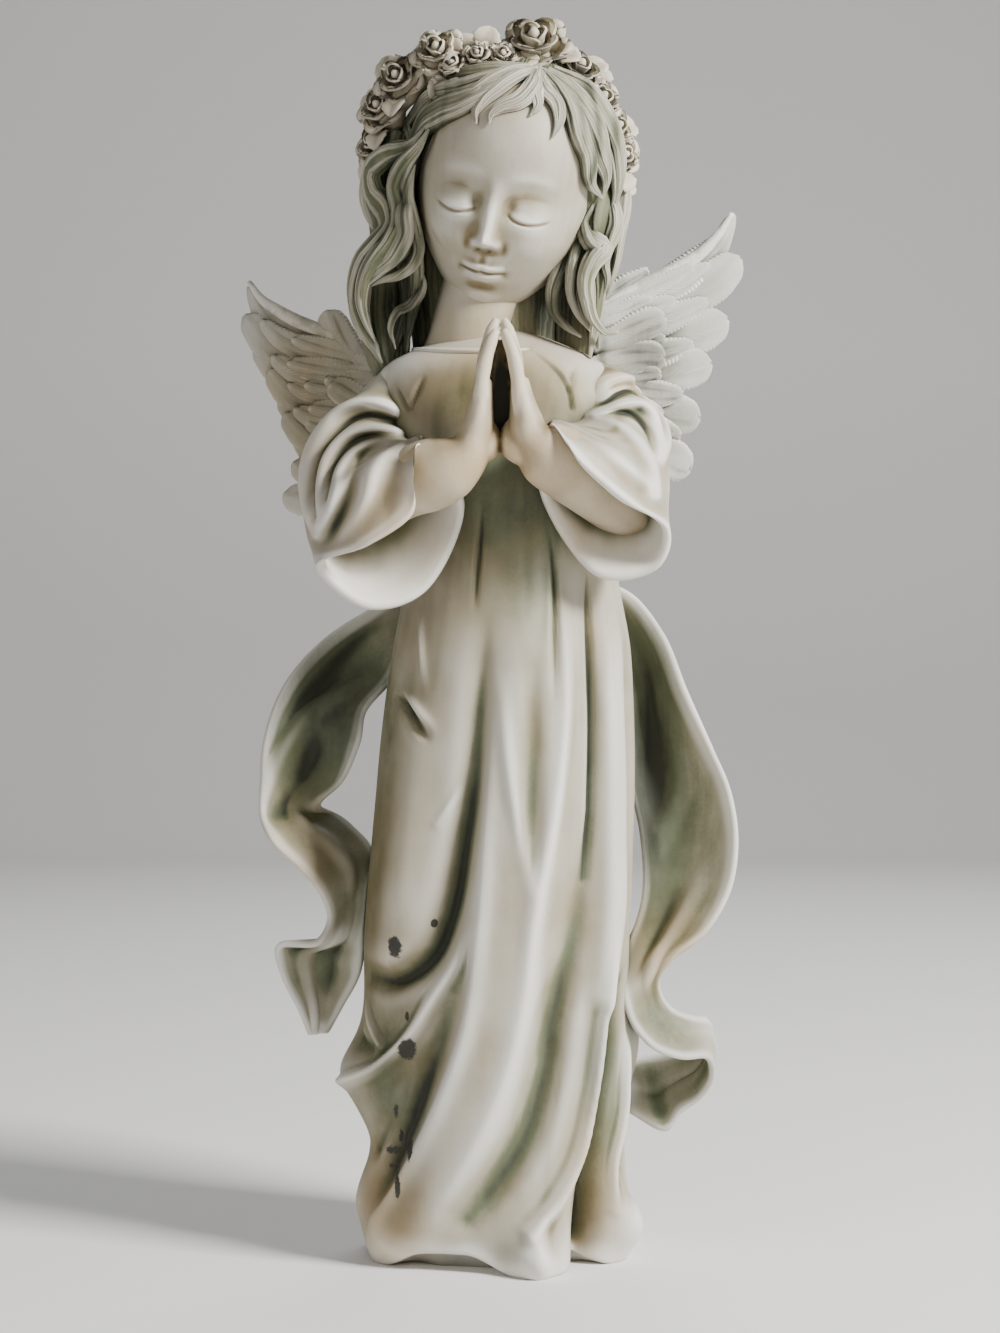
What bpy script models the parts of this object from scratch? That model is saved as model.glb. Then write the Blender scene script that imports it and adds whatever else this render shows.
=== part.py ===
"""A praying child angel, cast in resin as one piece.

The figure is drawn in design millimetres for a statue 412 mm tall, with +Z up, the
front towards -Y and the floor at z = 0. Every coordinate is therefore a share of
STATUE_HEIGHT. The walls of the thin forms keep real sizes of their own.
"""

import math

import bmesh
import bpy
import numpy as np
from mathutils import Matrix

# Driving dimensions, in metres
STATUE_HEIGHT = 0.412
RIBBON_THICKNESS = 0.0034
SLEEVE_WALL = 0.0032
FEATHER_THICKNESS = 0.0036
FUSING_VOXEL = 0.0011
SOLID_TRIANGLES = 9500
EASING_PASSES = 1

DESIGN_HEIGHT = 412.0
UNIT = STATUE_HEIGHT / DESIGN_HEIGHT
BURIED = 3.0  # design mm that a shape reaches below the floor before it is cut flat

# Head: centre, half sizes and tilt
HEAD_CENTRE = np.array((3.0, -8.0, 357.5))
HEAD_HALF = np.array((30.0, 35.0, 42.0))
HEAD_LEAN, HEAD_TURN, HEAD_BOW = 13.0, -5.0, 19.0  # degrees


def curve_values(knots, values, at):
    """Values on the smooth curve through (knots, values), read at the places given."""
    knots = np.asarray(knots, float)
    values = np.asarray(values, float)
    at = np.asarray(at, float)
    if knots[0] > knots[-1]:
        knots, values = knots[::-1], values[::-1]
    slopes = np.gradient(values, knots, axis=0)
    i = np.clip(np.searchsorted(knots, at) - 1, 0, len(knots) - 2)
    span = knots[i + 1] - knots[i]
    t = np.clip((at - knots[i]) / span, 0.0, 1.0)
    if values.ndim > 1:
        t, span = t[..., None], span[..., None]
    return (
        (2 * t**3 - 3 * t**2 + 1) * values[i]
        + (t**3 - 2 * t**2 + t) * span * slopes[i]
        + (3 * t**2 - 2 * t**3) * values[i + 1]
        + (t**3 - t**2) * span * slopes[i + 1]
    )


def path_through(points, count):
    """Evenly keyed points on the smooth open curve through the points given."""
    points = np.asarray(points, float)
    steps = np.linalg.norm(np.diff(points[:, :3], axis=0), axis=1)
    keys = np.concatenate(([0.0], np.cumsum(np.maximum(steps, 1e-6))))
    return curve_values(keys, points, np.linspace(0.0, keys[-1], count))


def loop_through(points, count):
    """Points on the smooth closed curve through the points given."""
    points = np.asarray(points, float)
    n = len(points)
    wrapped = np.concatenate((points[-2:], points, points[:3]))
    at = np.linspace(2.0, 2.0 + n, count, endpoint=False)
    return curve_values(np.arange(len(wrapped)), wrapped, at)


def smooth_step(x):
    x = np.clip(x, 0.0, 1.0)
    return x * x * (3.0 - 2.0 * x)


def loft(loops):
    """A closed skin over loops (station, around, xyz), with a fan over each end."""
    stations, around = loops.shape[:2]
    i, j = np.meshgrid(np.arange(stations - 1), np.arange(around), indexing="ij")
    a = (i * around + j).ravel()
    b = (i * around + (j + 1) % around).ravel()
    c, d = b + around, a + around
    sides = np.concatenate((np.stack((a, b, c), 1), np.stack((a, c, d), 1)))
    ring = np.arange(around)
    after = (ring + 1) % around
    first, last = stations * around, stations * around + 1
    start = np.stack((np.full(around, first), after, ring), 1)
    end = np.stack((np.full(around, last), ring, after), 1) + np.array(
        (0, 1, 1)
    ) * around * (stations - 1)
    points = np.concatenate((loops.reshape(-1, 3), loops[:1].mean(1), loops[-1:].mean(1)))
    faces = np.concatenate((sides, start, end))
    corners = points[faces]
    volume = np.einsum("ij,ij->", corners[:, 0], np.cross(corners[:, 1], corners[:, 2]))
    return points, faces if volume > 0 else faces[:, ::-1]


def unit(vectors):
    return vectors / np.maximum(np.linalg.norm(vectors, axis=-1, keepdims=True), 1e-9)


def sweep(path, facing, half_width, half_thickness, around=10, grooves=0, depth=0.0):
    """A rounded strand along path. Its broad side faces the vectors in facing."""
    tangent = unit(np.gradient(path, axis=0))
    facing = np.broadcast_to(facing, path.shape)
    normal = unit(facing - tangent * np.sum(facing * tangent, 1, keepdims=True))
    side = np.cross(tangent, normal)
    angle = np.linspace(0.0, 2 * math.pi, around, endpoint=False)
    swell = 1.0 - depth * (0.5 + 0.5 * np.cos(grooves * angle)) if grooves else 1.0
    across = (np.cos(angle) * swell)[None, :, None]
    out = (np.sin(angle) * swell)[None, :, None]
    width = np.broadcast_to(half_width, len(path))[:, None, None]
    thickness = np.broadcast_to(half_thickness, len(path))[:, None, None]
    return loft(
        path[:, None] + side[:, None] * across * width + normal[:, None] * out * thickness
    )


def sheet(grid, thickness):
    """A closed skin of that thickness over a grid of points (along, across, xyz)."""
    along = np.gradient(grid, axis=0)
    across = np.gradient(grid, axis=1)
    normal = unit(np.cross(along, across))
    half = np.broadcast_to(thickness, grid.shape[:2])[..., None] / 2.0
    rim_a = grid[:, :1] - unit(across[:, :1]) * half[:, :1]
    rim_b = grid[:, -1:] + unit(across[:, -1:]) * half[:, -1:]
    top, bottom = grid + normal * half, grid - normal * half
    return loft(np.concatenate((rim_a, top, rim_b, bottom[:, ::-1]), axis=1))


def head_turn():
    """The head's rotation: bowed forward, turned aside, then leant over."""
    return np.array(
        (
            Matrix.Rotation(math.radians(HEAD_LEAN), 3, "Y")
            @ Matrix.Rotation(math.radians(HEAD_TURN), 3, "Z")
            @ Matrix.Rotation(math.radians(HEAD_BOW), 3, "X")
        )
    )


HEAD_AXES = head_turn()


def from_head(points):
    """Points in the head's own axes, put in the statue's axes."""
    return np.asarray(points, float) @ HEAD_AXES.T + HEAD_CENTRE


# Gown: height, left edge, right edge, front and back of the plain body inside the folds
GOWN_PROFILE = np.array(
    (
        (311.0, -9.0, 8.0, -7.0, 10.0),
        (306.0, -24.0, 21.0, -17.0, 17.0),
        (300.0, -37.0, 34.0, -23.0, 20.0),
        (291.0, -42.0, 40.0, -27.0, 22.0),
        (278.0, -40.0, 39.0, -30.0, 24.0),
        (260.0, -34.0, 37.0, -31.0, 25.0),
        (240.0, -31.0, 38.0, -31.0, 25.0),
        (221.0, -33.0, 41.0, -32.0, 27.0),
        (204.0, -36.0, 44.0, -33.0, 29.0),
        (188.0, -38.5, 45.0, -34.0, 31.0),
        (171.0, -40.5, 45.5, -35.0, 32.0),
        (154.0, -42.0, 45.5, -35.5, 33.0),
        (137.0, -43.5, 45.0, -36.0, 34.0),
        (120.0, -45.0, 44.5, -36.0, 35.0),
        (103.0, -46.0, 43.5, -35.5, 35.0),
        (86.0, -46.0, 43.0, -35.0, 36.0),
        (69.0, -47.0, 43.0, -34.0, 36.0),
        (52.0, -47.0, 42.0, -34.0, 37.0),
        (35.0, -46.0, 42.0, -34.0, 37.0),
        (18.0, -45.0, 43.0, -34.0, 38.0),
        (-BURIED, -44.0, 42.0, -33.0, 38.0),
    )
)
GOWN_GIRTH_RADIUS = 42.0  # for laying the folds out flat round the gown

# Folds seen from the front: points (x, z, height), then widths left and right of the
# line, and a power that is 2 for a round fold and 4 for a flat-topped one
FRONT_FOLDS = (
    # pleats under the hands
    (((-5.8, 252, 0.0), (-7.0, 233, -2.0), (-8.4, 214, 0.0)), 1.2, 1.2, 2),
    (((15.5, 246, 0.0), (18.0, 225, -2.0), (17.7, 206, -1.6), (17.0, 185, 0.0)), 1.2, 1.2, 2),
    # long crease left of the white panel, opening into the deep hollow
    (((28.7, 232, 0.0), (29.7, 206, -3.0), (30.6, 180, -3.4), (30.0, 150, -3.2), (29.0, 128, -1.0)),
     1.8, 1.4, 2),
    (((29.0, 150, 0.0), (27.5, 122, -3.6), (24.0, 100, -5.4), (19.5, 82, -6.8), (15.8, 61, -7.2),
      (10.0, 44, -7.0), (1.0, 31, -6.0), (-11.0, 19, -3.0)), 6.5, 5.0, 2),
    # white panel at the right and the narrow edge it ends in
    (((36.0, 222, 0.0), (36.5, 190, 2.6), (37.0, 150, 3.2), (36.0, 108, 3.4), (34.0, 90, 2.0)),
     6.0, 7.0, 4),
    (((36.5, 112, 0.0), (34.2, 90, 3.0), (31.8, 72, 4.2), (29.0, 54, 4.8), (25.0, 37, 5.0),
      (18.5, 24, 5.0), (9.0, 14, 3.6)), 2.2, 2.6, 2),
    # recess behind that edge
    (((42.0, 98, 0.0), (37.5, 84, -4.0), (35.0, 66, -5.4), (31.5, 44, -6.0), (29.0, 24, -6.0),
      (28.0, 10, -4.0)), 3.0, 3.0, 2),
    (((40.5, 76, 0.0), (40.0, 62, 2.6), (39.6, 48, 3.4), (36.5, 33, 3.2), (35.0, 18, 1.2)),
     1.6, 2.0, 2),
    # broad middle panel, swinging to the left hem, and its crisp left border
    (((12.0, 222, 0.0), (11.5, 190, 2.0), (9.0, 160, 3.0), (5.5, 128, 4.2), (1.5, 98, 5.2),
      (-3.5, 72, 5.8), (-10.0, 50, 6.0), (-19.0, 31, 5.6), (-30.0, 14, 4.2)), 12.0, 11.5, 4),
    (((-3.9, 186, 0.0), (-4.5, 160, 1.2), (-6.2, 124, 2.0), (-8.8, 97, 2.4), (-13.6, 72, 2.6),
      (-18.7, 58, 2.6), (-24.2, 45, 2.6), (-31.2, 29, 2.2), (-38.5, 15, 1.0)), 1.5, 3.2, 2),
    # forked valley in its upper half and the ridge at the right of it
    (((10.3, 204, 0.0), (10.4, 175, -2.0), (9.8, 148, -2.2), (9.0, 127, 0.0)), 3.2, 3.2, 2),
    (((0.5, 196, 0.0), (2.4, 168, 1.4), (6.2, 142, 1.6), (8.8, 124, 0.6)), 2.2, 2.2, 2),
    (((20.0, 218, 0.0), (21.0, 184, 2.0), (16.5, 148, 2.8), (11.0, 120, 2.6), (7.2, 88, 1.8),
      (-0.5, 58, 1.4), (-11.5, 34, 1.0), (-22.0, 16, 0.0)), 2.8, 2.4, 2),
    # dark hollow beside the middle panel, running under the knee
    (((-5.0, 216, 0.0), (-6.4, 190, -2.4), (-8.6, 160, -4.2), (-12.0, 139, -6.0),
      (-16.0, 118, -6.8), (-22.3, 102.5, -6.2), (-32.0, 94.5, -5.0), (-44.0, 94, -2.0)),
     4.2, 3.0, 2),
    # knee
    (((-26.0, 190, 0.0), (-28.5, 165, 2.6), (-30.0, 138, 4.4), (-32.0, 118, 5.0), (-34.0, 108, 3.5)),
     11.5, 9.5, 2),
    # crisp creases below the knee, and the hollows round them
    (((-9.4, 116, 0.0), (-14.7, 101, 2.6), (-22.0, 89, 3.4), (-29.4, 76.6, 3.8), (-39.0, 65.5, 4.0),
      (-48.0, 58.5, 3.0)), 1.8, 2.6, 2),
    (((-47.0, 84, 0.0), (-46.5, 74, -2.6), (-42.0, 70.5, -1.6)), 2.4, 2.2, 2),
    (((-14.0, 90, 0.0), (-22.0, 68, -3.4), (-29.0, 50, -4.4), (-35.0, 36, -4.0), (-38.5, 24, -1.0)),
     5.0, 3.6, 2),
    (((-33.5, 58, 0.0), (-38.0, 46, -2.2), (-42.0, 37, -2.6)), 3.6, 3.2, 2),
    (((-35.5, 188.5, 0.0), (-31.0, 184, -2.4), (-27.0, 178, -2.6), (-22.0, 172.5, 0.0)), 1.3, 1.9, 2),
)

# Swellings of the gown: angle from the front, height, size and the two spreads
GOWN_SWELLS = (
    (-84.0, 61.0, 7.0, 24.0, 11.0),  # flare at the left, over the hem
    (-86.0, 37.0, -2.6, 16.0, 8.0),
    (-74.0, 18.0, 4.5, 18.0, 10.0),
    (-60.0, 6.0, 4.5, 13.0, 9.0),  # the three rolls of the hem
    (17.0, 5.0, 12.0, 12.0, 10.0),
    (22.0, 8.0, -3.0, 4.0, 9.0),
    (66.0, 12.0, 9.0, 13.0, 12.0),
    (76.0, 26.0, -3.0, 6.0, 9.0),
    (84.0, 72.0, 4.0, 16.0, 18.0),
    (41.0, 6.0, -7.0, 6.5, 18.0),  # notch between the middle roll and the right one
)
HEM_LIFT = 6.5
HEM_REST_ANGLES = (-64.0, 17.0, 66.0, 105.0, 150.0, -165.0, -120.0)  # where the hem touches down
BACK_FOLDS = 7
BACK_FOLD_HEIGHT = 3.2


def gown_section(z):
    """Centre x, half width, and front and back reach of the plain body at height z."""
    left, right, front, back = curve_values(
        GOWN_PROFILE[:, 0], GOWN_PROFILE[:, 1:], z
    ).T
    return (left + right) / 2, (right - left) / 2, -front, back


def fold_relief(flat, folds):
    """How far folds raise a surface whose points lie at flat (x, z) when laid out.

    Each fold is (points, left width, right width, power); points are (x, z, height).
    """
    relief = np.zeros(flat.shape[:-1])
    for points, left, right, power in folds:
        track = path_through(points, 6 * len(points))
        nearest = np.full(relief.shape, 1e9)
        height = np.zeros_like(relief)
        side = np.zeros_like(relief)
        for a, b in zip(track[:-1], track[1:]):
            run = b[:2] - a[:2]
            away = flat - a[:2]
            t = np.clip((away @ run) / (run @ run), 0.0, 1.0)
            gap = np.linalg.norm(away - t[..., None] * run, axis=-1)
            closer = gap < nearest
            nearest = np.where(closer, gap, nearest)
            height = np.where(closer, a[2] + (b[2] - a[2]) * t, height)
            turn = run[0] * away[..., 1] - run[1] * away[..., 0]
            side = np.where(closer, turn, side)
        width = np.where(side > 0, right, left)
        relief += height * np.exp(-((nearest / width) ** power))
    return relief


def laid_flat(folds):
    """Folds drawn in the front view, laid out round the gown's girth."""
    out = []
    for points, left, right, power in folds:
        points = np.array(points, float)
        centre, half, _, _ = gown_section(points[:, 1])
        bearing = np.arcsin(np.clip((points[:, 0] - centre) / half, -0.98, 0.98))
        out.append((np.column_stack((bearing * GOWN_GIRTH_RADIUS, points[:, 1:])), left, right, power))
    return out


def gown(rows, around):
    """Body and skirt, from the base of the neck to the flat underside."""
    angle = np.linspace(-math.pi, math.pi, around, endpoint=False)
    degrees = np.degrees(angle)
    lift = np.full(around, HEM_LIFT)
    for rest in HEM_REST_ANGLES:
        gap = (degrees - rest + 180.0) % 360.0 - 180.0
        lift = np.minimum(lift, HEM_LIFT * smooth_step((np.abs(gap) - 8.0) / 24.0) - BURIED)
    top = GOWN_PROFILE[0, 0]
    t = np.linspace(0.0, 1.0, rows)[:, None]
    z = top + (lift - top) * t
    angles = np.broadcast_to(angle, z.shape)
    centre, half, front, back = (v.reshape(z.shape) for v in gown_section(z.ravel()))
    reach = np.where(np.cos(angles) > 0, front, back)
    flat = np.stack((angles * GOWN_GIRTH_RADIUS, z), -1)
    relief = fold_relief(flat, laid_flat(FRONT_FOLDS))
    for bearing, height, size, spread, tall in GOWN_SWELLS:
        gap = (np.degrees(angles) - bearing + 180.0) % 360.0 - 180.0
        relief += size * np.exp(-((gap / spread) ** 2) - ((z - height) / tall) ** 2)
    behind = smooth_step((-np.cos(angles) - 0.05) / 0.5)
    fall = smooth_step((222.0 - z) / 60.0)
    sway = 0.25 * np.sin(z / 45.0)
    relief += behind * fall * BACK_FOLD_HEIGHT * np.cos(BACK_FOLDS * 2 * (angles + sway))
    outward = unit(np.stack((np.sin(angles) / half, -np.cos(angles) / reach), -1))
    x = centre + half * np.sin(angles) + relief * outward[..., 0]
    y = -reach * np.cos(angles) + relief * outward[..., 1]
    rings = [np.stack((x, y, z), -1)]
    # under the hem the skin turns in to a core that stands on the floor
    for inward, rise in ((0.94, 0.3), (0.82, 0.5), (0.72, None)):
        under = rings[0][-1].copy()
        under[:, :2] *= inward
        under[:, 2] = -BURIED if rise is None else under[:, 2] + rise * np.maximum(lift, 0)
        rings.append(under[None])
    return loft(np.concatenate(rings))


# Sleeves: rings (inner x, z, outer x, z, middle y, front depth, back depth) from the
# shoulder down, then the cuff's eight points from its top round the near side
RIGHT_ARM_SLEEVE = {
    "rings": (
        (-20.0, 299.0, -42.0, 297.0, 2.0, 12.0, 13.0),
        (-27.0, 287.0, -50.0, 288.0, 0.0, 16.0, 15.0),
        (-29.0, 279.0, -59.0, 279.0, -2.0, 19.0, 16.0),
        (-28.5, 274.0, -65.0, 266.0, -5.0, 23.0, 16.0),
        (-27.0, 273.0, -66.0, 252.0, -11.0, 29.0, 15.0),
        (-25.6, 273.0, -64.0, 240.0, -22.0, 31.0, 17.0),
    ),
    "cuff": (
        (-25.0, -54.0, 270.5),
        (-27.0, -61.0, 258.0),
        (-28.0, -62.0, 245.5),
        (-43.0, -59.0, 235.0),
        (-58.5, -49.0, 228.8),
        (-43.0, -41.0, 215.6),
        (-23.0, -34.0, 222.5),
        (-11.5, -33.0, 250.0),
    ),
    "folds": (
        (((-25.0, 276, 0.0), (-33.0, 284.0, 3.6), (-44.0, 286.5, 4.6), (-54.0, 282.0, 4.6),
          (-61.0, 272.0, 4.2), (-63.5, 257.0, 3.6), (-61.0, 241.0, 1.5)), 2.8, 3.2, 2),
        (((-25.0, 273, 0.0), (-33.0, 277.0, 3.4), (-43.0, 277.0, 4.4), (-51.0, 271.5, 4.4),
          (-56.0, 260.0, 3.8), (-57.0, 246.0, 2.6), (-55.0, 235.0, 1.0)), 2.4, 2.6, 2),
        (((-24.5, 271, 0.0), (-32.0, 270.0, 2.4), (-40.0, 267.5, 3.2), (-46.0, 260.5, 3.2),
          (-48.5, 250.0, 2.4), (-47.0, 237.0, 1.2)), 2.2, 2.8, 2),
        (((-31.0, 261, 0.0), (-36.0, 254.0, -1.6), (-39.0, 244.0, -2.0), (-38.0, 236.0, -0.6)),
         3.0, 4.0, 2),
    ),
}
LEFT_ARM_SLEEVE = {
    "rings": (
        (20.0, 300.0, 40.0, 298.0, 2.0, 12.0, 13.0),
        (24.0, 289.0, 45.0, 292.0, 0.0, 16.0, 15.0),
        (23.0, 283.0, 52.0, 285.0, -2.0, 20.0, 16.0),
        (21.0, 280.0, 56.5, 272.0, -5.0, 24.0, 16.0),
        (19.0, 279.0, 57.0, 259.0, -12.0, 29.0, 15.0),
        (16.6, 279.0, 56.0, 249.0, -22.0, 31.0, 17.0),
    ),
    "cuff": (
        (15.6, -54.0, 276.6),
        (20.5, -60.5, 268.0),
        (27.0, -60.0, 260.0),
        (40.0, -55.0, 249.5),
        (54.5, -42.0, 241.0),
        (50.0, -35.0, 228.0),
        (30.0, -35.0, 227.0),
        (13.0, -34.0, 253.0),
    ),
    "folds": (
        (((20.0, 287, 0.0), (29.0, 291.5, 3.2), (39.0, 294.0, 4.2), (48.5, 288.0, 4.2),
          (54.5, 275.0, 3.6), (56.0, 260.0, 2.6), (54.0, 247.0, 1.0)), 3.2, 2.8, 2),
        (((20.0, 281, 0.0), (29.0, 284.0, 3.2), (38.5, 284.0, 4.2), (46.0, 277.0, 4.0),
          (50.0, 265.0, 3.2), (50.0, 251.0, 1.6)), 2.6, 2.4, 2),
        (((21.0, 276, 0.0), (30.0, 275.0, 2.4), (38.0, 270.5, 3.2), (43.0, 261.0, 2.8),
          (43.5, 252.0, 1.2)), 2.4, 2.2, 2),
        (((20.0, 246, 0.0), (30.0, 238.0, 1.6), (40.0, 233.0, 1.6), (47.0, 231.0, 0.0)), 2.6, 2.6, 2),
    ),
}


ROLL_REST = 1.2  # how far the cloth between the rolls lies behind the plain sleeve


def sleeve_surface(shape, rows, around):
    """The outside of a sleeve, as loops from the shoulder to the cuff's edge."""
    keys = np.linspace(0.0, 2 * math.pi, 8, endpoint=False)
    control = []
    for inner_x, inner_z, outer_x, outer_z, y, front, back in shape["rings"]:
        inner = np.array((inner_x, y, inner_z))
        outer = np.array((outer_x, y, outer_z))
        depth = np.where(np.sin(keys) > 0, -front, back) * np.abs(np.sin(keys))
        ring = (inner + outer) / 2 + np.cos(keys)[:, None] * (inner - outer) / 2
        control.append(ring + depth[:, None] * np.array((0.0, 1.0, 0.0)))
    control.append(np.array(shape["cuff"]))
    control = np.array(control)
    loops = np.stack([loop_through(ring, around) for ring in control])
    places = np.linspace(0.0, len(control) - 1.0, rows)
    loops = curve_values(np.arange(len(control)), loops.reshape(len(control), -1), places)
    loops = loops.reshape(rows, around, 3)
    # rolls of cloth gathered at the elbow, drawn on the half that faces forward
    angle = np.linspace(0.0, 2 * math.pi, around, endpoint=False)
    facing = smooth_step(0.5 + 1.6 * np.sin(angle))
    relief = fold_relief(loops[..., ::2], shape["folds"]) * facing
    edge = smooth_step(np.linspace(0.0, 1.0, rows) * -9.0 + 9.0)[:, None]
    middle = loops.mean(1, keepdims=True)
    relief = (relief - ROLL_REST * facing) * edge
    return loops + unit(loops - middle) * relief[..., None]


def sleeve(shape, rows, around):
    """A sleeve that is solid down to the elbow and hollow at its open cuff."""
    loops = sleeve_surface(shape, rows, around)
    wall = SLEEVE_WALL / UNIT
    inside = []
    for place, shrink in ((1.0, 0.0), (0.93, 0.5), (0.86, 1.5), (0.78, 4.0), (0.72, 9.0)):
        ring = loops[int(round(place * (rows - 1)))]
        inward = unit(ring.mean(0) - ring)
        inside.append(ring + inward * (wall + shrink))
    return loft(np.concatenate((loops, np.array(inside))))


# Forearm and hand: x, y, z, half thickness across x, half width along y
RIGHT_HAND = (
    (-44.0, -20.0, 246.0, 8.0, 9.0),
    (-33.0, -34.0, 253.0, 8.6, 8.6),
    (-24.5, -43.5, 258.4, 12.0, 11.6),
    (-15.5, -47.5, 261.0, 10.2, 10.8),
    (-9.6, -49.0, 266.0, 7.0, 8.8),
    (-7.0, -49.0, 273.0, 5.0, 8.2),
    (-6.0, -50.0, 283.0, 3.9, 8.8),
    (-4.8, -50.0, 293.0, 2.9, 8.4),
    (-3.0, -50.0, 301.0, 2.3, 6.6),
    (-1.2, -50.0, 307.6, 1.3, 3.4),
)
LEFT_HAND = (
    (44.0, -18.0, 245.0, 8.0, 9.0),
    (32.0, -33.0, 252.5, 8.8, 9.2),
    (22.0, -43.5, 260.8, 11.0, 11.2),
    (14.5, -47.5, 265.5, 10.4, 10.8),
    (9.6, -49.0, 270.0, 7.2, 8.8),
    (8.2, -49.0, 274.0, 5.2, 8.2),
    (7.4, -50.0, 283.0, 4.0, 8.8),
    (6.0, -50.0, 293.0, 3.0, 8.4),
    (3.8, -50.0, 301.0, 2.4, 6.6),
    (1.4, -50.0, 307.4, 1.3, 3.4),
)
THUMB = ((9.0, -42.0, 270.0), (6.6, -39.5, 279.0), (3.4, -40.5, 287.0))


def arm(stations, rows, around):
    """Forearm and flat hand in one strand that bends up at the wrist."""
    line = path_through(stations, rows)
    tangent = unit(np.gradient(line[:, :3], axis=0))
    depth = np.array((0.0, 1.0, 0.0))
    depth = unit(depth - tangent * (tangent @ depth)[:, None])
    return sweep(line[:, :3], depth, line[:, 3], line[:, 4], around)


def thumb(side):
    path = path_through(np.array(THUMB) * (side, 1, 1), 8)
    taper = np.linspace(3.2, 2.0, 8)
    return sweep(path, (0.0, 1.0, 0.0), taper, taper, 8)


# Face relief in the head's own axes: x, z, how far forward, spread in x and in z.
# Entries with x off the middle are made on both sides.
FACE_RELIEF = (
    (12.0, 6.5, 1.2, 8.5, 3.5),  # brows
    (12.8, -1.0, -4.0, 6.6, 4.8),  # eye sockets
    (5.4, -1.5, -1.8, 2.6, 4.0),
    (13.0, -3.4, 3.9, 5.2, 3.2),  # closed lids
    (17.0, -15.5, 2.4, 8.0, 7.0),  # cheeks
    (0.0, -14.0, 1.8, 3.4, 2.8),  # tip of the nose
    (4.2, -15.8, 2.0, 2.1, 2.0),  # its wings
    (0.0, -21.8, 2.3, 5.4, 1.5),  # lips
    (0.0, -26.2, 2.7, 4.6, 1.8),
    (0.0, -30.0, -1.6, 5.0, 1.9),
    (0.0, -35.0, 3.0, 6.5, 4.0),  # chin
)


def face_relief(x, z):
    """How far forward of the plain head the face stands at (x, z)."""
    total = np.zeros_like(x)
    for at_x, at_z, size, wide, tall in FACE_RELIEF:
        for side in (-1, 1) if at_x else (1,):
            total += size * np.exp(-(((x - side * at_x) / wide) ** 2) - ((z - at_z) / tall) ** 2)
    bridge = 1.4 + 3.6 * smooth_step((4.0 - z) / 18.0)
    ends = smooth_step((9.0 - z) / 8.0) * smooth_step((z + 18.0) / 3.0)
    total += bridge * ends * np.exp(-((x / 3.3) ** 2))
    lashes = -5.9 + 0.035 * (np.abs(x) - 13.0) ** 2
    total -= 0.9 * np.exp(-(((z - lashes) / 0.6) ** 2) - ((np.abs(x) - 13.0) / 5.0) ** 4)
    total -= 2.2 * np.exp(-(((z + 23.9 - 0.02 * x**2) / 0.9) ** 2) - (x / 7.5) ** 4)
    return total


def head(rows, around):
    """Skull and face, with the chin narrower than the brow."""
    polar = np.linspace(0.06, math.pi - 0.06, rows)[:, None]
    angle = np.linspace(-math.pi, math.pi, around, endpoint=False)[None]
    half_x, half_y, half_z = HEAD_HALF
    x = half_x * np.sin(polar) * np.sin(angle)
    y = -np.sin(polar) * np.cos(angle)
    y = half_y * np.sign(y) * np.abs(y) ** np.where(y < 0, 0.80, 1.0)
    z = half_z * np.cos(polar) + 0.0 * angle
    jaw = smooth_step((-z - 4.0) / 38.0)
    x = x * (1.0 - 0.18 * jaw)
    y = y * (1.0 - 0.10 * jaw) - 2.0 * jaw
    front = smooth_step((-y / half_y - 0.25) / 0.45)
    y = y - face_relief(x, z) * front
    return loft(from_head(np.stack((x, y, z), -1).reshape(-1, 3)).reshape(rows, around, 3))


HAIR_CENTRE = np.array((0.0, 7.5, 3.5))  # in the head's axes
HAIR_HALF = np.array((35.0, 36.5, 42.5))


def hair_cap(rows, around):
    """The hair's plain mass over the skull, behind the face."""
    polar = np.linspace(0.06, math.pi * 0.78, rows)[:, None]
    angle = np.linspace(-math.pi, math.pi, around, endpoint=False)[None]
    sphere = np.stack(
        (
            np.sin(polar) * np.sin(angle),
            -np.sin(polar) * np.cos(angle),
            np.cos(polar) + 0.0 * angle,
        ),
        -1,
    )
    points = from_head((sphere * HAIR_HALF + HAIR_CENTRE).reshape(-1, 3))
    return loft(points.reshape(rows, around, 3))


def on_hair(points, lift):
    """Front-view points (x, z) laid on the hair's outer form, raised by lift."""
    points = np.asarray(points, float)
    half = HAIR_HALF + lift
    shape = HEAD_AXES @ np.diag(1.0 / half**2) @ HEAD_AXES.T
    centre = from_head(HAIR_CENTRE)
    x, z = points[:, 0] - centre[0], points[:, 1] - centre[2]
    a = shape[1, 1]
    b = 2 * (shape[0, 1] * x + shape[1, 2] * z)
    c = shape[0, 0] * x**2 + shape[2, 2] * z**2 + 2 * shape[0, 2] * x * z - 1.0
    y = (-b - np.sqrt(np.maximum(b * b - 4 * a * c, 0.0))) / (2 * a)
    return np.stack((points[:, 0], y + centre[1], points[:, 1]), 1)


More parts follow.
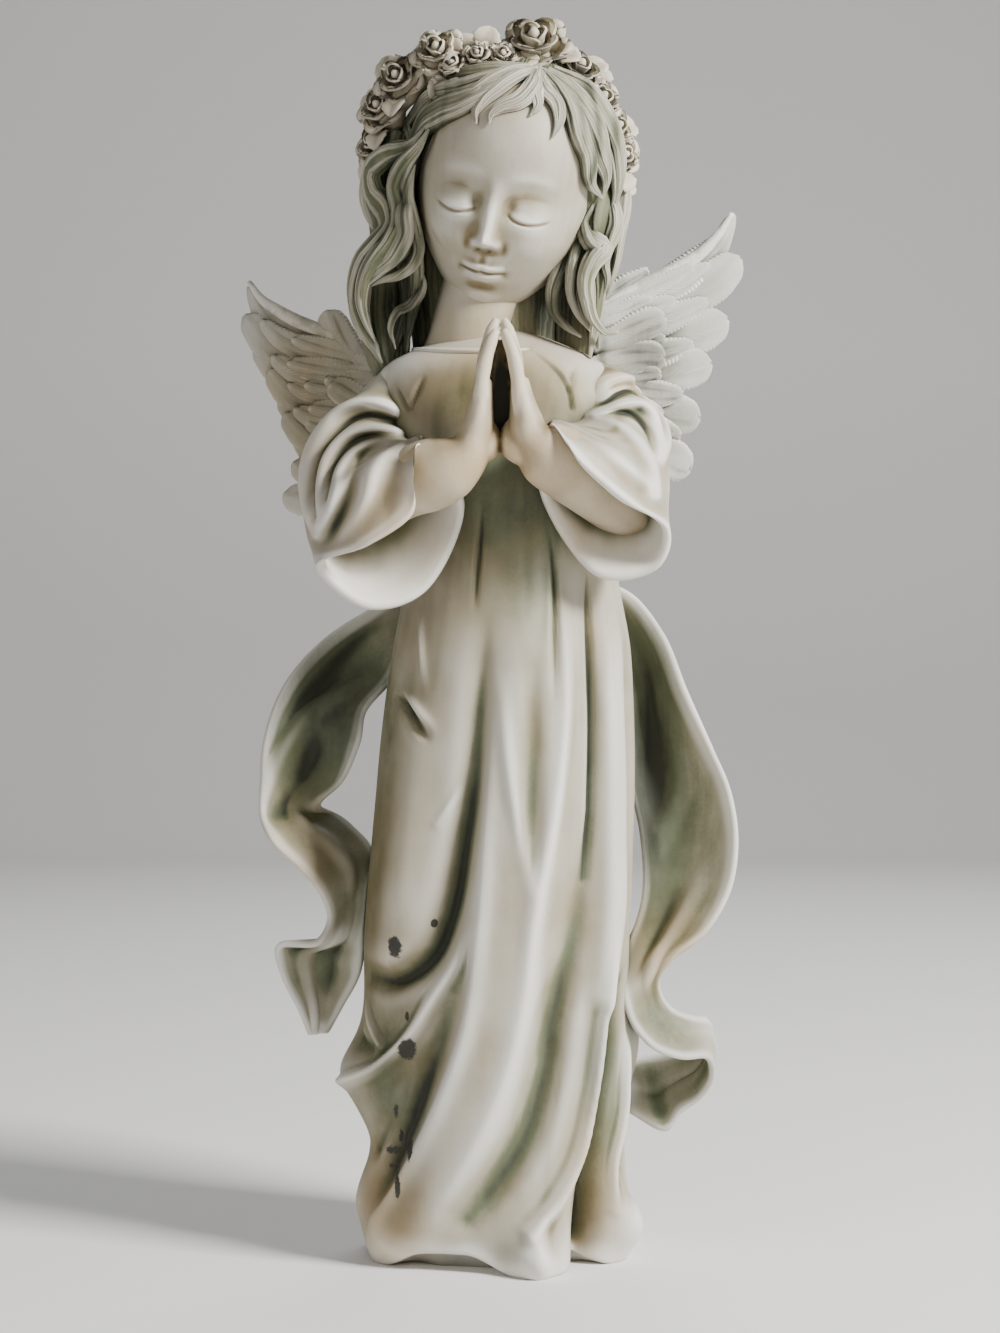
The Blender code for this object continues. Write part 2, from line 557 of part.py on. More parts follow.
# Locks over the brow, as front-view points (x, z), then half width and half thickness
FRINGE = (
    (((7, 388.5), (2, 384.5), (-5, 379), (-9, 373.5), (-9, 366.5)), 2.8, 2.6),
    (((10.5, 388), (9.5, 381), (5, 376), (-1, 373), (-3.5, 368.5)), 3.2, 2.6),
    (((11.5, 388), (11.5, 381), (8.5, 376), (4, 373.5)), 2.6, 2.2),
    (((12.5, 388), (15.5, 381), (18, 375), (18, 369), (16.5, 362)), 2.8, 2.4),
    (((14, 388), (20.5, 379), (24.5, 370), (28, 360), (30.5, 350), (30, 343)), 3.8, 3.0),
    (((16, 388.5), (24, 378), (30.5, 366), (33.5, 354), (33, 343), (35.5, 334)), 4.0, 3.2),
    (((18, 389.5), (28, 381), (35.5, 369), (38, 358), (36, 348)), 4.0, 3.4),
    (((-2, 392), (-14, 391), (-24, 389), (-31, 384), (-35, 376), (-33, 368)), 4.6, 3.4),
    (((2, 389), (-9, 384.5), (-19, 381), (-28, 376), (-33, 369), (-35, 360)), 4.6, 3.4),
    (((5, 388), (-4, 382), (-13, 377), (-22, 373.5), (-28, 368), (-31, 360)), 3.6, 3.0),
)

# Locks that fall beside the face: points (x, y, z), then half width and half thickness
SIDE_LOCKS = (
    (((-25, -28, 377), (-34, -20, 370), (-41, -12, 361), (-40, -12, 352), (-36, -14, 344),
      (-39, -15, 337), (-47, -15, 330), (-50, -14, 321), (-49, -12, 312), (-42, -8, 303)), 4.8, 4.4),
    (((-22, -31, 376), (-28, -27, 368), (-32, -22, 359), (-33, -20, 349), (-31, -20, 341),
      (-36, -21, 333), (-42, -20, 325), (-42, -18, 315), (-37, -16, 306)), 4.0, 3.8),
    (((-42, -4, 367), (-46, -2, 357), (-43, -2, 345), (-41, -5, 335), (-47, -6, 324),
      (-47, -4, 312), (-42, -3, 304)), 5.2, 5.2),
    (((-28, -26, 360), (-31, -24, 350), (-28.5, -22, 340), (-27, -20, 330), (-29, -18, 321),
      (-33, -16, 312), (-40, -12, 304)), 3.6, 3.6),
    (((-34, -20, 331), (-29.5, -22, 325), (-31.5, -23, 318), (-38, -20, 311), (-43, -14, 306)),
     3.6, 3.4),
    (((-30, -8, 352), (-33, -8, 338), (-30, -8, 324), (-34, -7, 310), (-38, -4, 300)), 5.0, 5.0),
    (((29, -20, 357), (27.5, -19, 348), (32.5, -19, 341), (30, -18, 334), (30, -17, 326),
      (29.5, -17, 318), (33, -16, 311), (39, -14, 310), (39, -13, 314)), 3.4, 3.4),
    (((37, -9, 358), (39.5, -9, 347), (35.5, -9, 339), (34.5, -9, 330), (38, -8, 321),
      (36, -6, 311)), 4.2, 4.4),
    (((27, -14, 349), (25.5, -13, 339), (21.5, -12, 330), (20, -12, 322), (24, -13, 314),
      (32, -13, 308), (38, -10, 306)), 4.2, 4.2),
    (((33, -2, 352), (32, 0, 340), (30, 0, 328), (32, 0, 316), (36, -1, 305)), 6.2, 6.2),
    (((39, -4, 366), (41, -3, 354), (38, -2, 342), (39, -1, 330), (36, 0, 316)), 4.4, 4.6),
)
BACK_LOCKS = 12
# Plain masses under the side locks: (x, y, z, half width, half thickness)
HAIR_MASSES = (
    ((-33, -9, 376, 8, 8), (-38, -7, 356, 8, 10), (-37, -8, 340, 8, 9), (-41, -8, 325, 10, 8),
     (-38, -3, 300, 9, 8)),
    ((34, -5, 368, 6, 9), (32, -4, 348, 7, 9), (29, -3, 330, 7, 8), (33, -2, 302, 9, 8)),
)


def hair_mass(points, rows, around):
    line = path_through(points, rows)
    return sweep(line[:, :3], (0.0, 1.0, 0.0), line[:, 3], line[:, 4], around)


def side_lock(points, width, thickness, rows, around):
    path = path_through(points, rows)
    axis = from_head((0.0, 2.0, 0.0)) * (1, 1, 0)
    facing = path * (1, 1, 0) - axis
    taper = curve_values((0.0, 0.2, 0.75, 1.0), (0.55, 1.0, 0.95, 0.35), np.linspace(0, 1, rows))
    return sweep(path, unit(facing), width * taper, thickness * taper, around, 3, 0.18)


def fringe_lock(points, width, thickness, rows, around):
    path = path_through(on_hair(points, 2.5), rows)
    taper = curve_values((0.0, 0.25, 0.7, 1.0), (0.5, 1.0, 0.9, 0.3), np.linspace(0, 1, rows))
    return sweep(path, path - from_head(HAIR_CENTRE), width * taper, thickness * taper, around, 3, 0.15)


def back_lock(index, rows, around):
    """One of the wavy locks that hang behind, from the wreath to the shoulders."""
    share = index / (BACK_LOCKS - 1)
    bearing = math.radians(-18.0 + 216.0 * share)
    t = np.linspace(0.0, 1.0, rows)
    behind = math.sin(bearing)
    z = 384.0 - (78.0 + 6.0 * math.cos(index * 2.2)) * t
    wave = np.radians(6.0) * np.sin(2 * math.pi * (1.6 * t + 0.37 * index))
    reach = curve_values((0.0, 0.25, 0.6, 1.0), (24.0, 34.5, 33.0, 31.0 - 4.0 * behind), t)
    centre_x, centre_y = 2.0 * (1.0 - t), -2.0 + 2.0 * t
    path = np.stack(
        (
            centre_x + reach * np.cos(bearing + wave),
            centre_y + reach * np.sin(bearing + wave) * 0.95,
            z,
        ),
        1,
    )
    facing = unit(path * (1, 1, 0) - np.stack((centre_x, centre_y, 0 * t), 1))
    taper = curve_values((0.0, 0.2, 0.8, 1.0), (0.6, 1.0, 0.9, 0.3), t)
    return sweep(path, facing, 6.8 * taper, 4.6 * taper, around, 3, 0.2)


def nape(rows, around):
    """The mass of hair that fills the back of the neck, under the back locks."""
    path = path_through(((0, 8, 385), (-2, 8, 350), (-3, 7, 325), (-3, 6, 297)), rows)
    width = curve_values((0, 0.5, 1), (30.0, 30.0, 26.0), np.linspace(0, 1, rows))
    depth = curve_values((0, 0.5, 1), (22.0, 21.0, 15.0), np.linspace(0, 1, rows))
    return sweep(path, (0.0, 1.0, 0.0), width, depth, around)


def neck(rows, around):
    path = path_through(((-11.0, 2.0, 300.0), (-9.0, -4.0, 315.0), (-4.0, -6.0, 335.0)), rows)
    radius = curve_values((0, 0.35, 1), (18.5, 14.5, 15.0), np.linspace(0, 1, rows))
    return sweep(path, (0.0, 1.0, 0.0), radius, radius, around)


# Roses of the wreath: centre (x, y, z) and radius
ROSES = (
    ((11.5, -21.0, 403.4), 9.6),
    ((0.5, -27.0, 395.5), 4.6),
    ((-6.0, -27.5, 396.0), 4.0),
    ((-20.0, -20.0, 399.5), 6.6),
    ((-14.5, -25.5, 393.0), 4.6),
    ((-32.5, -14.0, 392.5), 6.8),
    ((-39.5, -9.0, 383.5), 6.6),
    ((-41.0, -1.0, 373.0), 7.0),
    ((24.5, -19.0, 393.0), 7.2),
    ((32.5, -13.0, 385.5), 6.0),
    ((37.0, -10.0, 377.0), 6.0),
    ((40.5, -7.0, 368.5), 5.6),
    ((38.0, -6.0, 360.5), 4.8),
    ((-36.0, 13.0, 376.0), 7.0),
    ((-26.0, 24.0, 377.0), 7.4),
    ((-10.0, 30.0, 378.0), 7.8),
    ((8.0, 31.0, 376.0), 7.6),
    ((24.0, 24.0, 373.0), 7.4),
    ((36.0, 11.0, 368.0), 7.0),
)
ROSE_TURNS = 3.4
ROSE_CARVING = 0.17  # depth of the carving between petals, as a share of the radius


def rose(centre, radius, rows, around):
    """A full rose: petals wound round the bud, each rim standing over the next."""
    polar = np.linspace(0.05, math.pi - 0.05, rows)[:, None]
    angle = np.linspace(0.0, 2 * math.pi, around, endpoint=False)[None]
    wound = ROSE_TURNS * polar / 1.9 - angle / (2 * math.pi) + 0.16 * np.cos(5 * angle + centre[0])
    rim = smooth_step((wound % 1.0) * 1.4) - 0.5
    reach = radius * (1.0 + ROSE_CARVING * rim * np.minimum(1.0, np.sin(polar) * 2.0))
    out = unit(np.array(centre) - from_head((0.0, 0.0, 2.0)))
    across = unit(np.cross(out, (0.0, 0.0, 1.0)))
    up = np.cross(out, across)
    grid = (
        (reach * 0.86 * np.cos(polar))[..., None] * out
        + (reach * np.sin(polar) * np.cos(angle))[..., None] * across
        + (reach * np.sin(polar) * np.sin(angle))[..., None] * up
    )
    return loft(grid + centre)


def bearing_of(point):
    return math.atan2(point[1], point[0])


def wreath(rows, around):
    """The leafy band under the roses, a closed ring round the head."""
    line = np.array(sorted((centre for centre, _ in ROSES), key=bearing_of), float)
    inward = unit(from_head((0.0, 0.0, 8.0)) - line)
    line = loop_through(line + inward * 4.0, rows)
    line = np.concatenate((line, line[:2]))
    t = np.arange(len(line))
    girth = 5.6 + 0.8 * np.cos(t * 2.1)
    return sweep(line, line - from_head((0.0, 0.0, 8.0)), girth, girth * 0.8, around, 3, 0.2)


# A feather's outline: its width from root to tip, as shares of the full width
ROUNDED = (0.55, 0.85, 1.0, 0.92, 0.66, 0.30)
POINTED = (0.60, 0.90, 0.95, 0.62, 0.44, 0.34)

# Feathers: points (x, z) from root to tip, half width, how far back it lies, outline.
# The sweep back is worked out. The last feather of each wing stands over the shoulder.
RIGHT_WING = (
    (((-38, 301), (-58, 306), (-72, 311.5), (-82, 319), (-90.0, 334.0)), 5.0, 1.2, POINTED),
    (((-38, 297), (-60, 301), (-76, 306.5), (-92.0, 323.0)), 5.4, 0.0, ROUNDED),
    (((-36, 291), (-58, 294), (-73, 299), (-86, 311)), 5.4, 1.2, ROUNDED),
    (((-35, 285), (-56, 287), (-70, 291), (-81, 301.5)), 5.2, 0.0, ROUNDED),
    (((-33, 280), (-54, 280.5), (-67, 283.5), (-77, 292.5)), 5.0, 1.2, ROUNDED),
    (((-32, 275), (-54, 274), (-66, 277), (-75.5, 286)), 4.8, 0.0, ROUNDED),
    (((-31, 270), (-52, 268), (-62, 270), (-71, 278.5)), 4.6, 1.2, ROUNDED),
    (((-34, 268), (-54, 264), (-64, 264), (-72.5, 268.5)), 4.8, 0.0, ROUNDED),
    (((-34, 262), (-56, 257), (-68, 255.5), (-76, 257.5)), 5.2, 1.2, ROUNDED),
    (((-38, 301), (-50, 308), (-57, 315), (-62, 321)), 5.2, -1.6, ROUNDED),
)
LEFT_WING = (
    (((32, 316), (50, 325.5), (68, 337), (77, 345.5), (83.5, 358.5)), 4.8, 1.2, POINTED),
    (((30, 309), (54, 321), (73, 331), (87.5, 343.0)), 6.4, 0.0, ROUNDED),
    (((30, 302), (52, 309), (68, 314), (80, 319.5)), 6.6, 1.2, ROUNDED),
    (((30, 296), (50, 298.5), (62, 301), (74, 303.5)), 6.4, 0.0, ROUNDED),
    (((34, 288), (52, 286.5), (62, 285.5), (70, 284.5)), 6.0, 1.2, ROUNDED),
    (((38, 280), (52, 273.5), (60, 269.5), (66.5, 266)), 6.2, 0.0, ROUNDED),
    (((30, 319), (40, 326), (46, 331), (51.5, 335.8)), 3.4, 2.0, POINTED),
)
# Coverts: share of the feather they lie on, half width, how far out of the wing's plane
COVERTS = ((0.74, 4.6, 1.8), (0.48, 4.8, 3.4))
WING_ROOT_Y, WING_SWEEP = 17.0, 0.28


def feather(points, half_width, layer, outline, rows, columns):
    """One feather: a leaf-shaped sheet with a raised shaft, bent along its length."""
    t = np.linspace(0.0, 1.0, rows)
    line = path_through(points, rows)
    run = unit(np.gradient(line, axis=0))
    across = np.stack((-run[:, 1], run[:, 0]), 1)
    width = half_width * curve_values((0.0, 0.3, 0.7, 0.88, 0.97, 1.0), outline, t)
    s = np.linspace(-1.0, 1.0, columns)
    flat = line[:, None] + (s[None] * width[:, None])[..., None] * across[:, None]
    shaft = 0.5 * np.exp(-((s / 0.18) ** 2)) - 0.9 * s**2
    y = WING_ROOT_Y + WING_SWEEP * np.abs(flat[..., 0] - 28.0 * np.sign(run[0, 0]))
    y = y + layer - shaft[None] * 1.6
    grid = np.stack((flat[..., 0], y, flat[..., 1]), -1)
    return sheet(grid, FEATHER_THICKNESS / UNIT)


def wing(feathers, rows, columns):
    """Flight feathers, and rows of short coverts over them on both faces."""
    side = math.copysign(1.0, feathers[0][0][0][0])
    pieces = [feather(*shape, rows, columns) for shape in feathers]
    for reach, half_width, out in COVERTS:
        for points, _, layer, _ in feathers[:-1]:
            short = path_through(points, 9)[: int(round(9 * reach))]
            for face in (-1, 1):
                pieces.append(
                    feather(short, half_width, face * (out + 0.3 * layer), ROUNDED, rows, columns)
                )
    # the shoulder of the wing, which carries the feathers into the back
    joint = ((side * 14.0, 12.0, 282.0), (side * 28.0, 17.0, 288.0), (side * 42.0, 21.0, 297.0))
    path = path_through(joint, 8)
    pieces.append(sweep(path, (0.0, 1.0, 0.0), np.linspace(15, 9, 8), np.linspace(6.5, 3.6, 8)))
    return pieces


# Ribbons: outer edge (x, y, z), inner edge (x, y, z) and how far the middle bellies to +Y
RIGHT_RIBBON = (
    ((-24, 27, 226), (-20, 25, 207), 0),
    ((-44, 23, 217), (-33, 17, 201), 3),
    ((-61, 18, 206), (-38, 10, 192), 5),
    ((-74, 10, 190), (-46, 2, 182), 6),
    ((-79.5, 4, 172.5), (-48, -3, 171), 6),
    ((-80.5, 0, 157), (-54, 0, 158), 5),
    ((-80, -4, 146), (-62, 5, 150), 3),
    ((-76, -10, 139), (-58, 12, 147), 0),
    ((-67, -9, 130), (-51, 12, 142), -1),
    ((-60, -4, 121), (-44, 9, 133), 0),
    ((-57.5, -4, 112), (-45, 4, 122), 2),
    ((-61, -7, 105), (-46, 1, 110), 2),
    ((-74.5, -4, 103), (-47, 1, 99), 3),
    ((-73, 0, 92), (-49, 2, 91), 3),
    ((-68, 0, 82), (-54, 2, 82), 2),
    ((-64, 1, 72.5), (-59, 2, 73), 0),
)
LEFT_RIBBON = (
    ((26, 27, 228), (22, 25, 211), 0),
    ((45, 21, 222), (34, 24, 206), 2),
    ((56, 16, 209), (42, 20, 189), 4),
    ((64.5, 10, 188), (45, 18, 170), 6),
    ((72.5, 4, 168), (46, 14, 154), 8),
    ((77.5, 0, 154.5), (48.5, 10, 141), 8),
    ((79.5, -4, 137.5), (49.5, 6, 123), 6),
    ((76.5, -7, 121.5), (47, 3, 111), 4),
    ((69, -9, 109), (43, -1, 102), 2),
    ((57.5, -9, 99), (41.5, -7, 92.5), 1),
    ((53, -6, 92), (41.5, -11, 86), 1),
    ((54, -3, 86), (44.5, -13, 78), 2),
    ((58.5, -1, 80.5), (51.5, -14, 70.5), 3),
    ((65, 1, 78), (61, -12, 67), 3),
    ((70.5, 5, 76.5), (69.5, -6, 66), 3),
    ((71.5, 10, 72), (72, 1, 59), 3),
    ((67, 14, 66), (69, 7, 51), 2),
    ((58.5, 16, 63), (62, 10, 45), 2),
    ((50, 16, 62), (56, 12, 38.5), 2),
    ((42, 14, 61), (44, 12, 45), 0),
)
SASH = ((-31, 18, 216), (-18, 28, 217), (0, 32, 218), (18, 29, 219), (36, 20, 219))


def ribbon(stations, rows, columns):
    """A ribbon that twists as it falls, thickest in the middle."""
    outer = np.array([s[0] for s in stations], float)
    inner = np.array([s[1] for s in stations], float)
    belly = np.array([s[2] for s in stations], float)
    line = path_through(np.concatenate((outer, inner, belly[:, None]), 1), rows)
    s = np.linspace(0.0, 1.0, columns)[None, :, None]
    grid = line[:, None, :3] * (1 - s) + line[:, None, 3:6] * s
    grid = grid + 4 * s * (1 - s) * line[:, None, 6:7] * np.array((0.0, 1.0, 0.0))
    return sheet(grid, RIBBON_THICKNESS / UNIT)


def sash(rows, around):
    """The band across the back that both ribbons leave, and its knot."""
    path = path_through(SASH, rows)
    facing = unit(path * (1, 1, 0))
    knot = path_through(((0, 30, 226), (0, 35, 218), (0, 30, 209)), 6)
    return [
        sweep(path, facing, 9.0, 3.2, around, 3, 0.15),
        sweep(knot, (0.0, 1.0, 0.0), 8.0, 5.0, around),
    ]


def figure_pieces():
    """Every form of the statue as a closed skin, each overlapping its neighbours."""
    pieces = [gown(120, 144), neck(8, 20), head(72, 90), hair_cap(16, 24), nape(8, 24)]
    for shape in (RIGHT_ARM_SLEEVE, LEFT_ARM_SLEEVE):
        pieces.append(sleeve(shape, 96, 72))
    for stations in (RIGHT_HAND, LEFT_HAND):
        pieces.append(arm(stations, 28, 16))
    pieces += [thumb(-1), thumb(1)]
    pieces += [fringe_lock(*lock, 16, 10) for lock in FRINGE]
    pieces += [side_lock(*lock, 28, 12) for lock in SIDE_LOCKS]
    pieces += [back_lock(k, 24, 12) for k in range(BACK_LOCKS)]
    pieces += [rose(*flower, 22, 30) for flower in ROSES]
    pieces.append(wreath(64, 12))
    pieces += [hair_mass(points, 12, 14) for points in HAIR_MASSES]
    for feathers in (RIGHT_WING, LEFT_WING):
        pieces += wing(feathers, 16, 9)
    pieces += [ribbon(RIGHT_RIBBON, 64, 10), ribbon(LEFT_RIBBON, 72, 10)]
    return pieces + sash(20, 12)


def mesh_of(pieces, name):
    """One mesh of all the pieces, in metres."""
    points, faces, offset = [], [], 0
    for piece_points, piece_faces in pieces:
        points.append(piece_points)
        faces.append(piece_faces + offset)
        offset += len(piece_points)
    mesh = bpy.data.meshes.new(name)
    mesh.from_pydata((np.concatenate(points) * UNIT).tolist(), [], np.concatenate(faces).tolist())
    mesh.validate()
    return mesh


def evaluated(obj):
    """A plain mesh of the object as its modifiers leave it."""
    graph = bpy.context.evaluated_depsgraph_get()
    return bpy.data.meshes.new_from_object(obj.evaluated_get(graph))


def keep_largest_body(mesh):
    """Deletes the small shells that fusing leaves inside closed hollows."""
    shape = bmesh.new()
    shape.from_mesh(mesh)
    bodies, seen = [], set()
    for start in shape.faces:
        if start in seen:
            continue
        body, edge = [], [start]
        seen.add(start)
        while edge:
            face = edge.pop()
            body.append(face)
            for side in face.edges:
                for other in side.link_faces:
                    if other not in seen:
                        seen.add(other)
                        edge.append(other)
        bodies.append(body)
    bodies.sort(key=len)
    for body in bodies[:-1]:
        bmesh.ops.delete(shape, geom=body, context="FACES")
    shape.to_mesh(mesh)
    shape.free()


def cut_at_floor(mesh):
    """Cuts the mesh off flat at z = 0 and closes the cut, which is the underside."""
    shape = bmesh.new()
    shape.from_mesh(mesh)
    geometry = shape.verts[:] + shape.edges[:] + shape.faces[:]
    cut = bmesh.ops.bisect_plane(
        shape, geom=geometry, dist=1e-7, plane_co=(0, 0, 0), plane_no=(0, 0, -1), clear_outer=True
    )
    rim = [e for e in cut["geom_cut"] if isinstance(e, bmesh.types.BMEdge)]
    bmesh.ops.triangle_fill(shape, edges=rim, use_beauty=True, normal=(0, 0, -1))
    bmesh.ops.triangulate(shape, faces=shape.faces[:])
    bmesh.ops.recalc_face_normals(shape, faces=shape.faces[:])
    shape.to_mesh(mesh)
    shape.free()


def resin_material():
    material = bpy.data.materials.new("antiqued_resin")
    material.use_nodes = True
    shader = material.node_tree.nodes["Principled BSDF"]
    shader.inputs["Base Color"].default_value = (0.60, 0.57, 0.47, 1.0)
    shader.inputs["Roughness"].default_value = 0.62
    shader.inputs["Metallic"].default_value = 0.0
    return material


def build_statue():
    """Fuses the overlapping forms, thins the faces, and cuts the underside flat."""
    statue = bpy.data.objects.new("angel_statue", mesh_of(figure_pieces(), "angel_statue"))
    bpy.context.scene.collection.objects.link(statue)
    fuse = statue.modifiers.new("Fuse", "REMESH")
    fuse.mode = "VOXEL"
    fuse.voxel_size = FUSING_VOXEL
    statue.data = evaluated(statue)
    statue.modifiers.clear()
    keep_largest_body(statue.data)
    ease = statue.modifiers.new("Ease", "SMOOTH")
    ease.factor = 0.5
    ease.iterations = EASING_PASSES
    thin = statue.modifiers.new("Thin", "DECIMATE")
    triangles = 2 * len(statue.data.polygons)
    thin.ratio = SOLID_TRIANGLES / triangles
    thin.use_collapse_triangulate = True
    statue.data = evaluated(statue)
    statue.modifiers.clear()
    cut_at_floor(statue.data)
    statue.data.materials.clear()
    statue.data.materials.append(resin_material())
    statue.data.shade_smooth()
    statue.data.set_sharp_from_angle(angle=math.radians(50))
    return statue


for old in list(bpy.data.objects):
    bpy.data.objects.remove(old)
build_statue()
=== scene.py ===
import math

import bpy
import numpy as np
from mathutils import Matrix, Vector


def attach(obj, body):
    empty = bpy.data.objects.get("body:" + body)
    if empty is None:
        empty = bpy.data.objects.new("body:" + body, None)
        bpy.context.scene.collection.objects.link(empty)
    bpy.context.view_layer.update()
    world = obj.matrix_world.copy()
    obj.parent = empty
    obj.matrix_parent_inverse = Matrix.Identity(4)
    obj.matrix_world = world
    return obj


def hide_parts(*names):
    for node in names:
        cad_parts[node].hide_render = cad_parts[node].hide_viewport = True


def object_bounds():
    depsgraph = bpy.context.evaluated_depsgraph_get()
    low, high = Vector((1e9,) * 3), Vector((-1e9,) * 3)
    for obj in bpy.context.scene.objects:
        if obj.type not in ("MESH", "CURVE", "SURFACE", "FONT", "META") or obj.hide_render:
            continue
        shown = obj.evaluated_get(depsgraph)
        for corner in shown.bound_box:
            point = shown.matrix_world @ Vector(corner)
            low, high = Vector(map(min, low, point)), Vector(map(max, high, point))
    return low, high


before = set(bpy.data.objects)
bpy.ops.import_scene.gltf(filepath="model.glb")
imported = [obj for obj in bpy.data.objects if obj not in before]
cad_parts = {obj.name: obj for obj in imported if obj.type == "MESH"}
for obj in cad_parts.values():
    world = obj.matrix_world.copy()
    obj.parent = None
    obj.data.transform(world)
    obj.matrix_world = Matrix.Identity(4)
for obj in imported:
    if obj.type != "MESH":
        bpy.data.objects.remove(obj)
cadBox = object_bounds()

drawnHeight = 412.0  # the tables below are drawn in millimetres for this height
unit = (cadBox[1].z - cadBox[0].z) / drawnHeight  # metres for one drawn millimetre


def curveValues(knots, values, at):
    knots, values, at = np.asarray(knots, float), np.asarray(values, float), np.asarray(at, float)
    if knots[0] > knots[-1]:
        knots, values = knots[::-1], values[::-1]
    slopes = np.gradient(values, knots, axis=0)
    i = np.clip(np.searchsorted(knots, at) - 1, 0, len(knots) - 2)
    span = knots[i + 1] - knots[i]
    t = np.clip((at - knots[i]) / span, 0.0, 1.0)
    if values.ndim > 1:
        t, span = t[..., None], span[..., None]
    return (
        (2 * t**3 - 3 * t**2 + 1) * values[i]
        + (t**3 - 2 * t**2 + t) * span * slopes[i]
        + (3 * t**2 - 2 * t**3) * values[i + 1]
        + (t**3 - t**2) * span * slopes[i + 1]
    )


def pathThrough(points, count):
    points = np.asarray(points, float)
    steps = np.linalg.norm(np.diff(points[:, :3], axis=0), axis=1)
    keys = np.concatenate(([0.0], np.cumsum(np.maximum(steps, 1e-6))))
    return curveValues(keys, points, np.linspace(0.0, keys[-1], count))


def loopThrough(points, count):
    points = np.asarray(points, float)
    wrapped = np.concatenate((points[-2:], points, points[:3]))
    at = np.linspace(2.0, 2.0 + len(points), count, endpoint=False)
    return curveValues(np.arange(len(wrapped)), wrapped, at)


def smoothStep(x):
    x = np.clip(x, 0.0, 1.0)
    return x * x * (3.0 - 2.0 * x)


def bellCurve(x, width):
    return np.exp(-((x / width) ** 2))


def unitVectors(vectors):
    return vectors / np.maximum(np.linalg.norm(vectors, axis=-1, keepdims=True), 1e-9)


def loft(loops, strand=None):
    # loops are (station, around, xyz); a fan closes each end; strand is a stripe phase
    stations, around = loops.shape[:2]
    i, j = np.meshgrid(np.arange(stations - 1), np.arange(around), indexing="ij")
    a = (i * around + j).ravel()
    b = (i * around + (j + 1) % around).ravel()
    c, d = b + around, a + around
    ring = np.arange(around)
    after = (ring + 1) % around
    last = around * (stations - 1)
    first = stations * around
    start = np.stack((np.full(around, first), after, ring), 1)
    end = np.stack((np.full(around, first + 1), ring + last, after + last), 1)
    faces = np.concatenate((np.stack((a, b, c), 1), np.stack((a, c, d), 1), start, end))
    points = np.concatenate((loops.reshape(-1, 3), loops[:1].mean(1), loops[-1:].mean(1)))
    phase = np.zeros(len(points))
    if strand is not None:
        phase[: stations * around] = np.broadcast_to(strand, (stations, around)).ravel()
        phase[first], phase[first + 1] = phase[:around].mean(), phase[last:first].mean()
    corners = points[faces]
    volume = np.einsum("ij,ij->", corners[:, 0], np.cross(corners[:, 1], corners[:, 2]))
    return points, faces if volume > 0 else faces[:, ::-1], phase


def pathFrame(path, facing):
    tangent = unitVectors(np.gradient(path, axis=0))
    facing = np.broadcast_to(facing, path.shape)
    normal = unitVectors(facing - tangent * np.sum(facing * tangent, 1, keepdims=True))
    return normal, np.cross(tangent, normal)


def sweep(path, facing, halfWidth, halfThickness, around=10, grooves=0, depth=0.0, hairs=0):
    normal, side = pathFrame(path, facing)
    angle = np.linspace(0.0, 2 * math.pi, around, endpoint=False)
    swell = 1.0 - depth * (0.5 + 0.5 * np.cos(grooves * angle)) if grooves else 1.0
    across = (np.cos(angle) * swell)[None, :, None]
    out = (np.sin(angle) * swell)[None, :, None]
    width = np.broadcast_to(halfWidth, len(path))[:, None, None]
    thickness = np.broadcast_to(halfThickness, len(path))[:, None, None]
    rings = path[:, None] + side[:, None] * across * width + normal[:, None] * out * thickness
    return loft(rings, hairs * np.abs(angle - math.pi) / math.pi)


def sheet(grid, thickness, strand=None):
    # grid is (along, across, xyz); thickness may vary over it
    along, across = np.gradient(grid, axis=0), np.gradient(grid, axis=1)
    normal = unitVectors(np.cross(along, across))
    half = np.broadcast_to(thickness, grid.shape[:2])[..., None] / 2.0
    rimA = grid[:, :1] - unitVectors(across[:, :1]) * half[:, :1]
    rimB = grid[:, -1:] + unitVectors(across[:, -1:]) * half[:, -1:]
    top, bottom = grid + normal * half, grid - normal * half
    loops = np.concatenate((rimA, top, rimB, bottom[:, ::-1]), axis=1)
    if strand is not None:
        strand = np.concatenate((strand[:, :1], strand, strand[:, -1:], strand[:, ::-1]), axis=1)
    return loft(loops, strand)


def foldRelief(flat, folds):
    # each fold: points (x, z, height), width left, width right, power of its profile
    shape = flat.shape[:-1]
    flat = flat.reshape(-1, 2)
    relief = np.zeros(len(flat))
    for points, left, right, power in folds:
        track = pathThrough(points, 6 * len(points))
        margin = 3.2 * max(left, right)
        low, high = track[:, :2].min(0) - margin, track[:, :2].max(0) + margin
        near = np.nonzero(((flat > low) & (flat < high)).all(1))[0]
        if not len(near):
            continue
        spot = flat[near]
        nearest = np.full(len(near), 1e9)
        height, side = np.zeros(len(near)), np.zeros(len(near))
        for a, b in zip(track[:-1], track[1:]):
            run, away = b[:2] - a[:2], spot - a[:2]
            t = np.clip((away @ run) / (run @ run), 0.0, 1.0)
            gap = np.linalg.norm(away - t[:, None] * run, axis=1)
            closer = gap < nearest
            nearest = np.where(closer, gap, nearest)
            height = np.where(closer, a[2] + (b[2] - a[2]) * t, height)
            side = np.where(closer, run[0] * away[:, 1] - run[1] * away[:, 0], side)
        width = np.where(side > 0, right, left)
        relief[near] += height * np.exp(-((nearest / width) ** power))
    return relief.reshape(shape)


def joined(shells):
    points, faces, phases, offset = [], [], [], 0
    for shellPoints, shellFaces, shellPhase in shells:
        points.append(shellPoints)
        faces.append(shellFaces + offset)
        phases.append(shellPhase)
        offset += len(shellPoints)
    return np.concatenate(points), np.concatenate(faces), np.concatenate(phases)


def addObject(name, data):
    made = bpy.data.objects.new(name, data)
    bpy.context.scene.collection.objects.link(made)
    return made


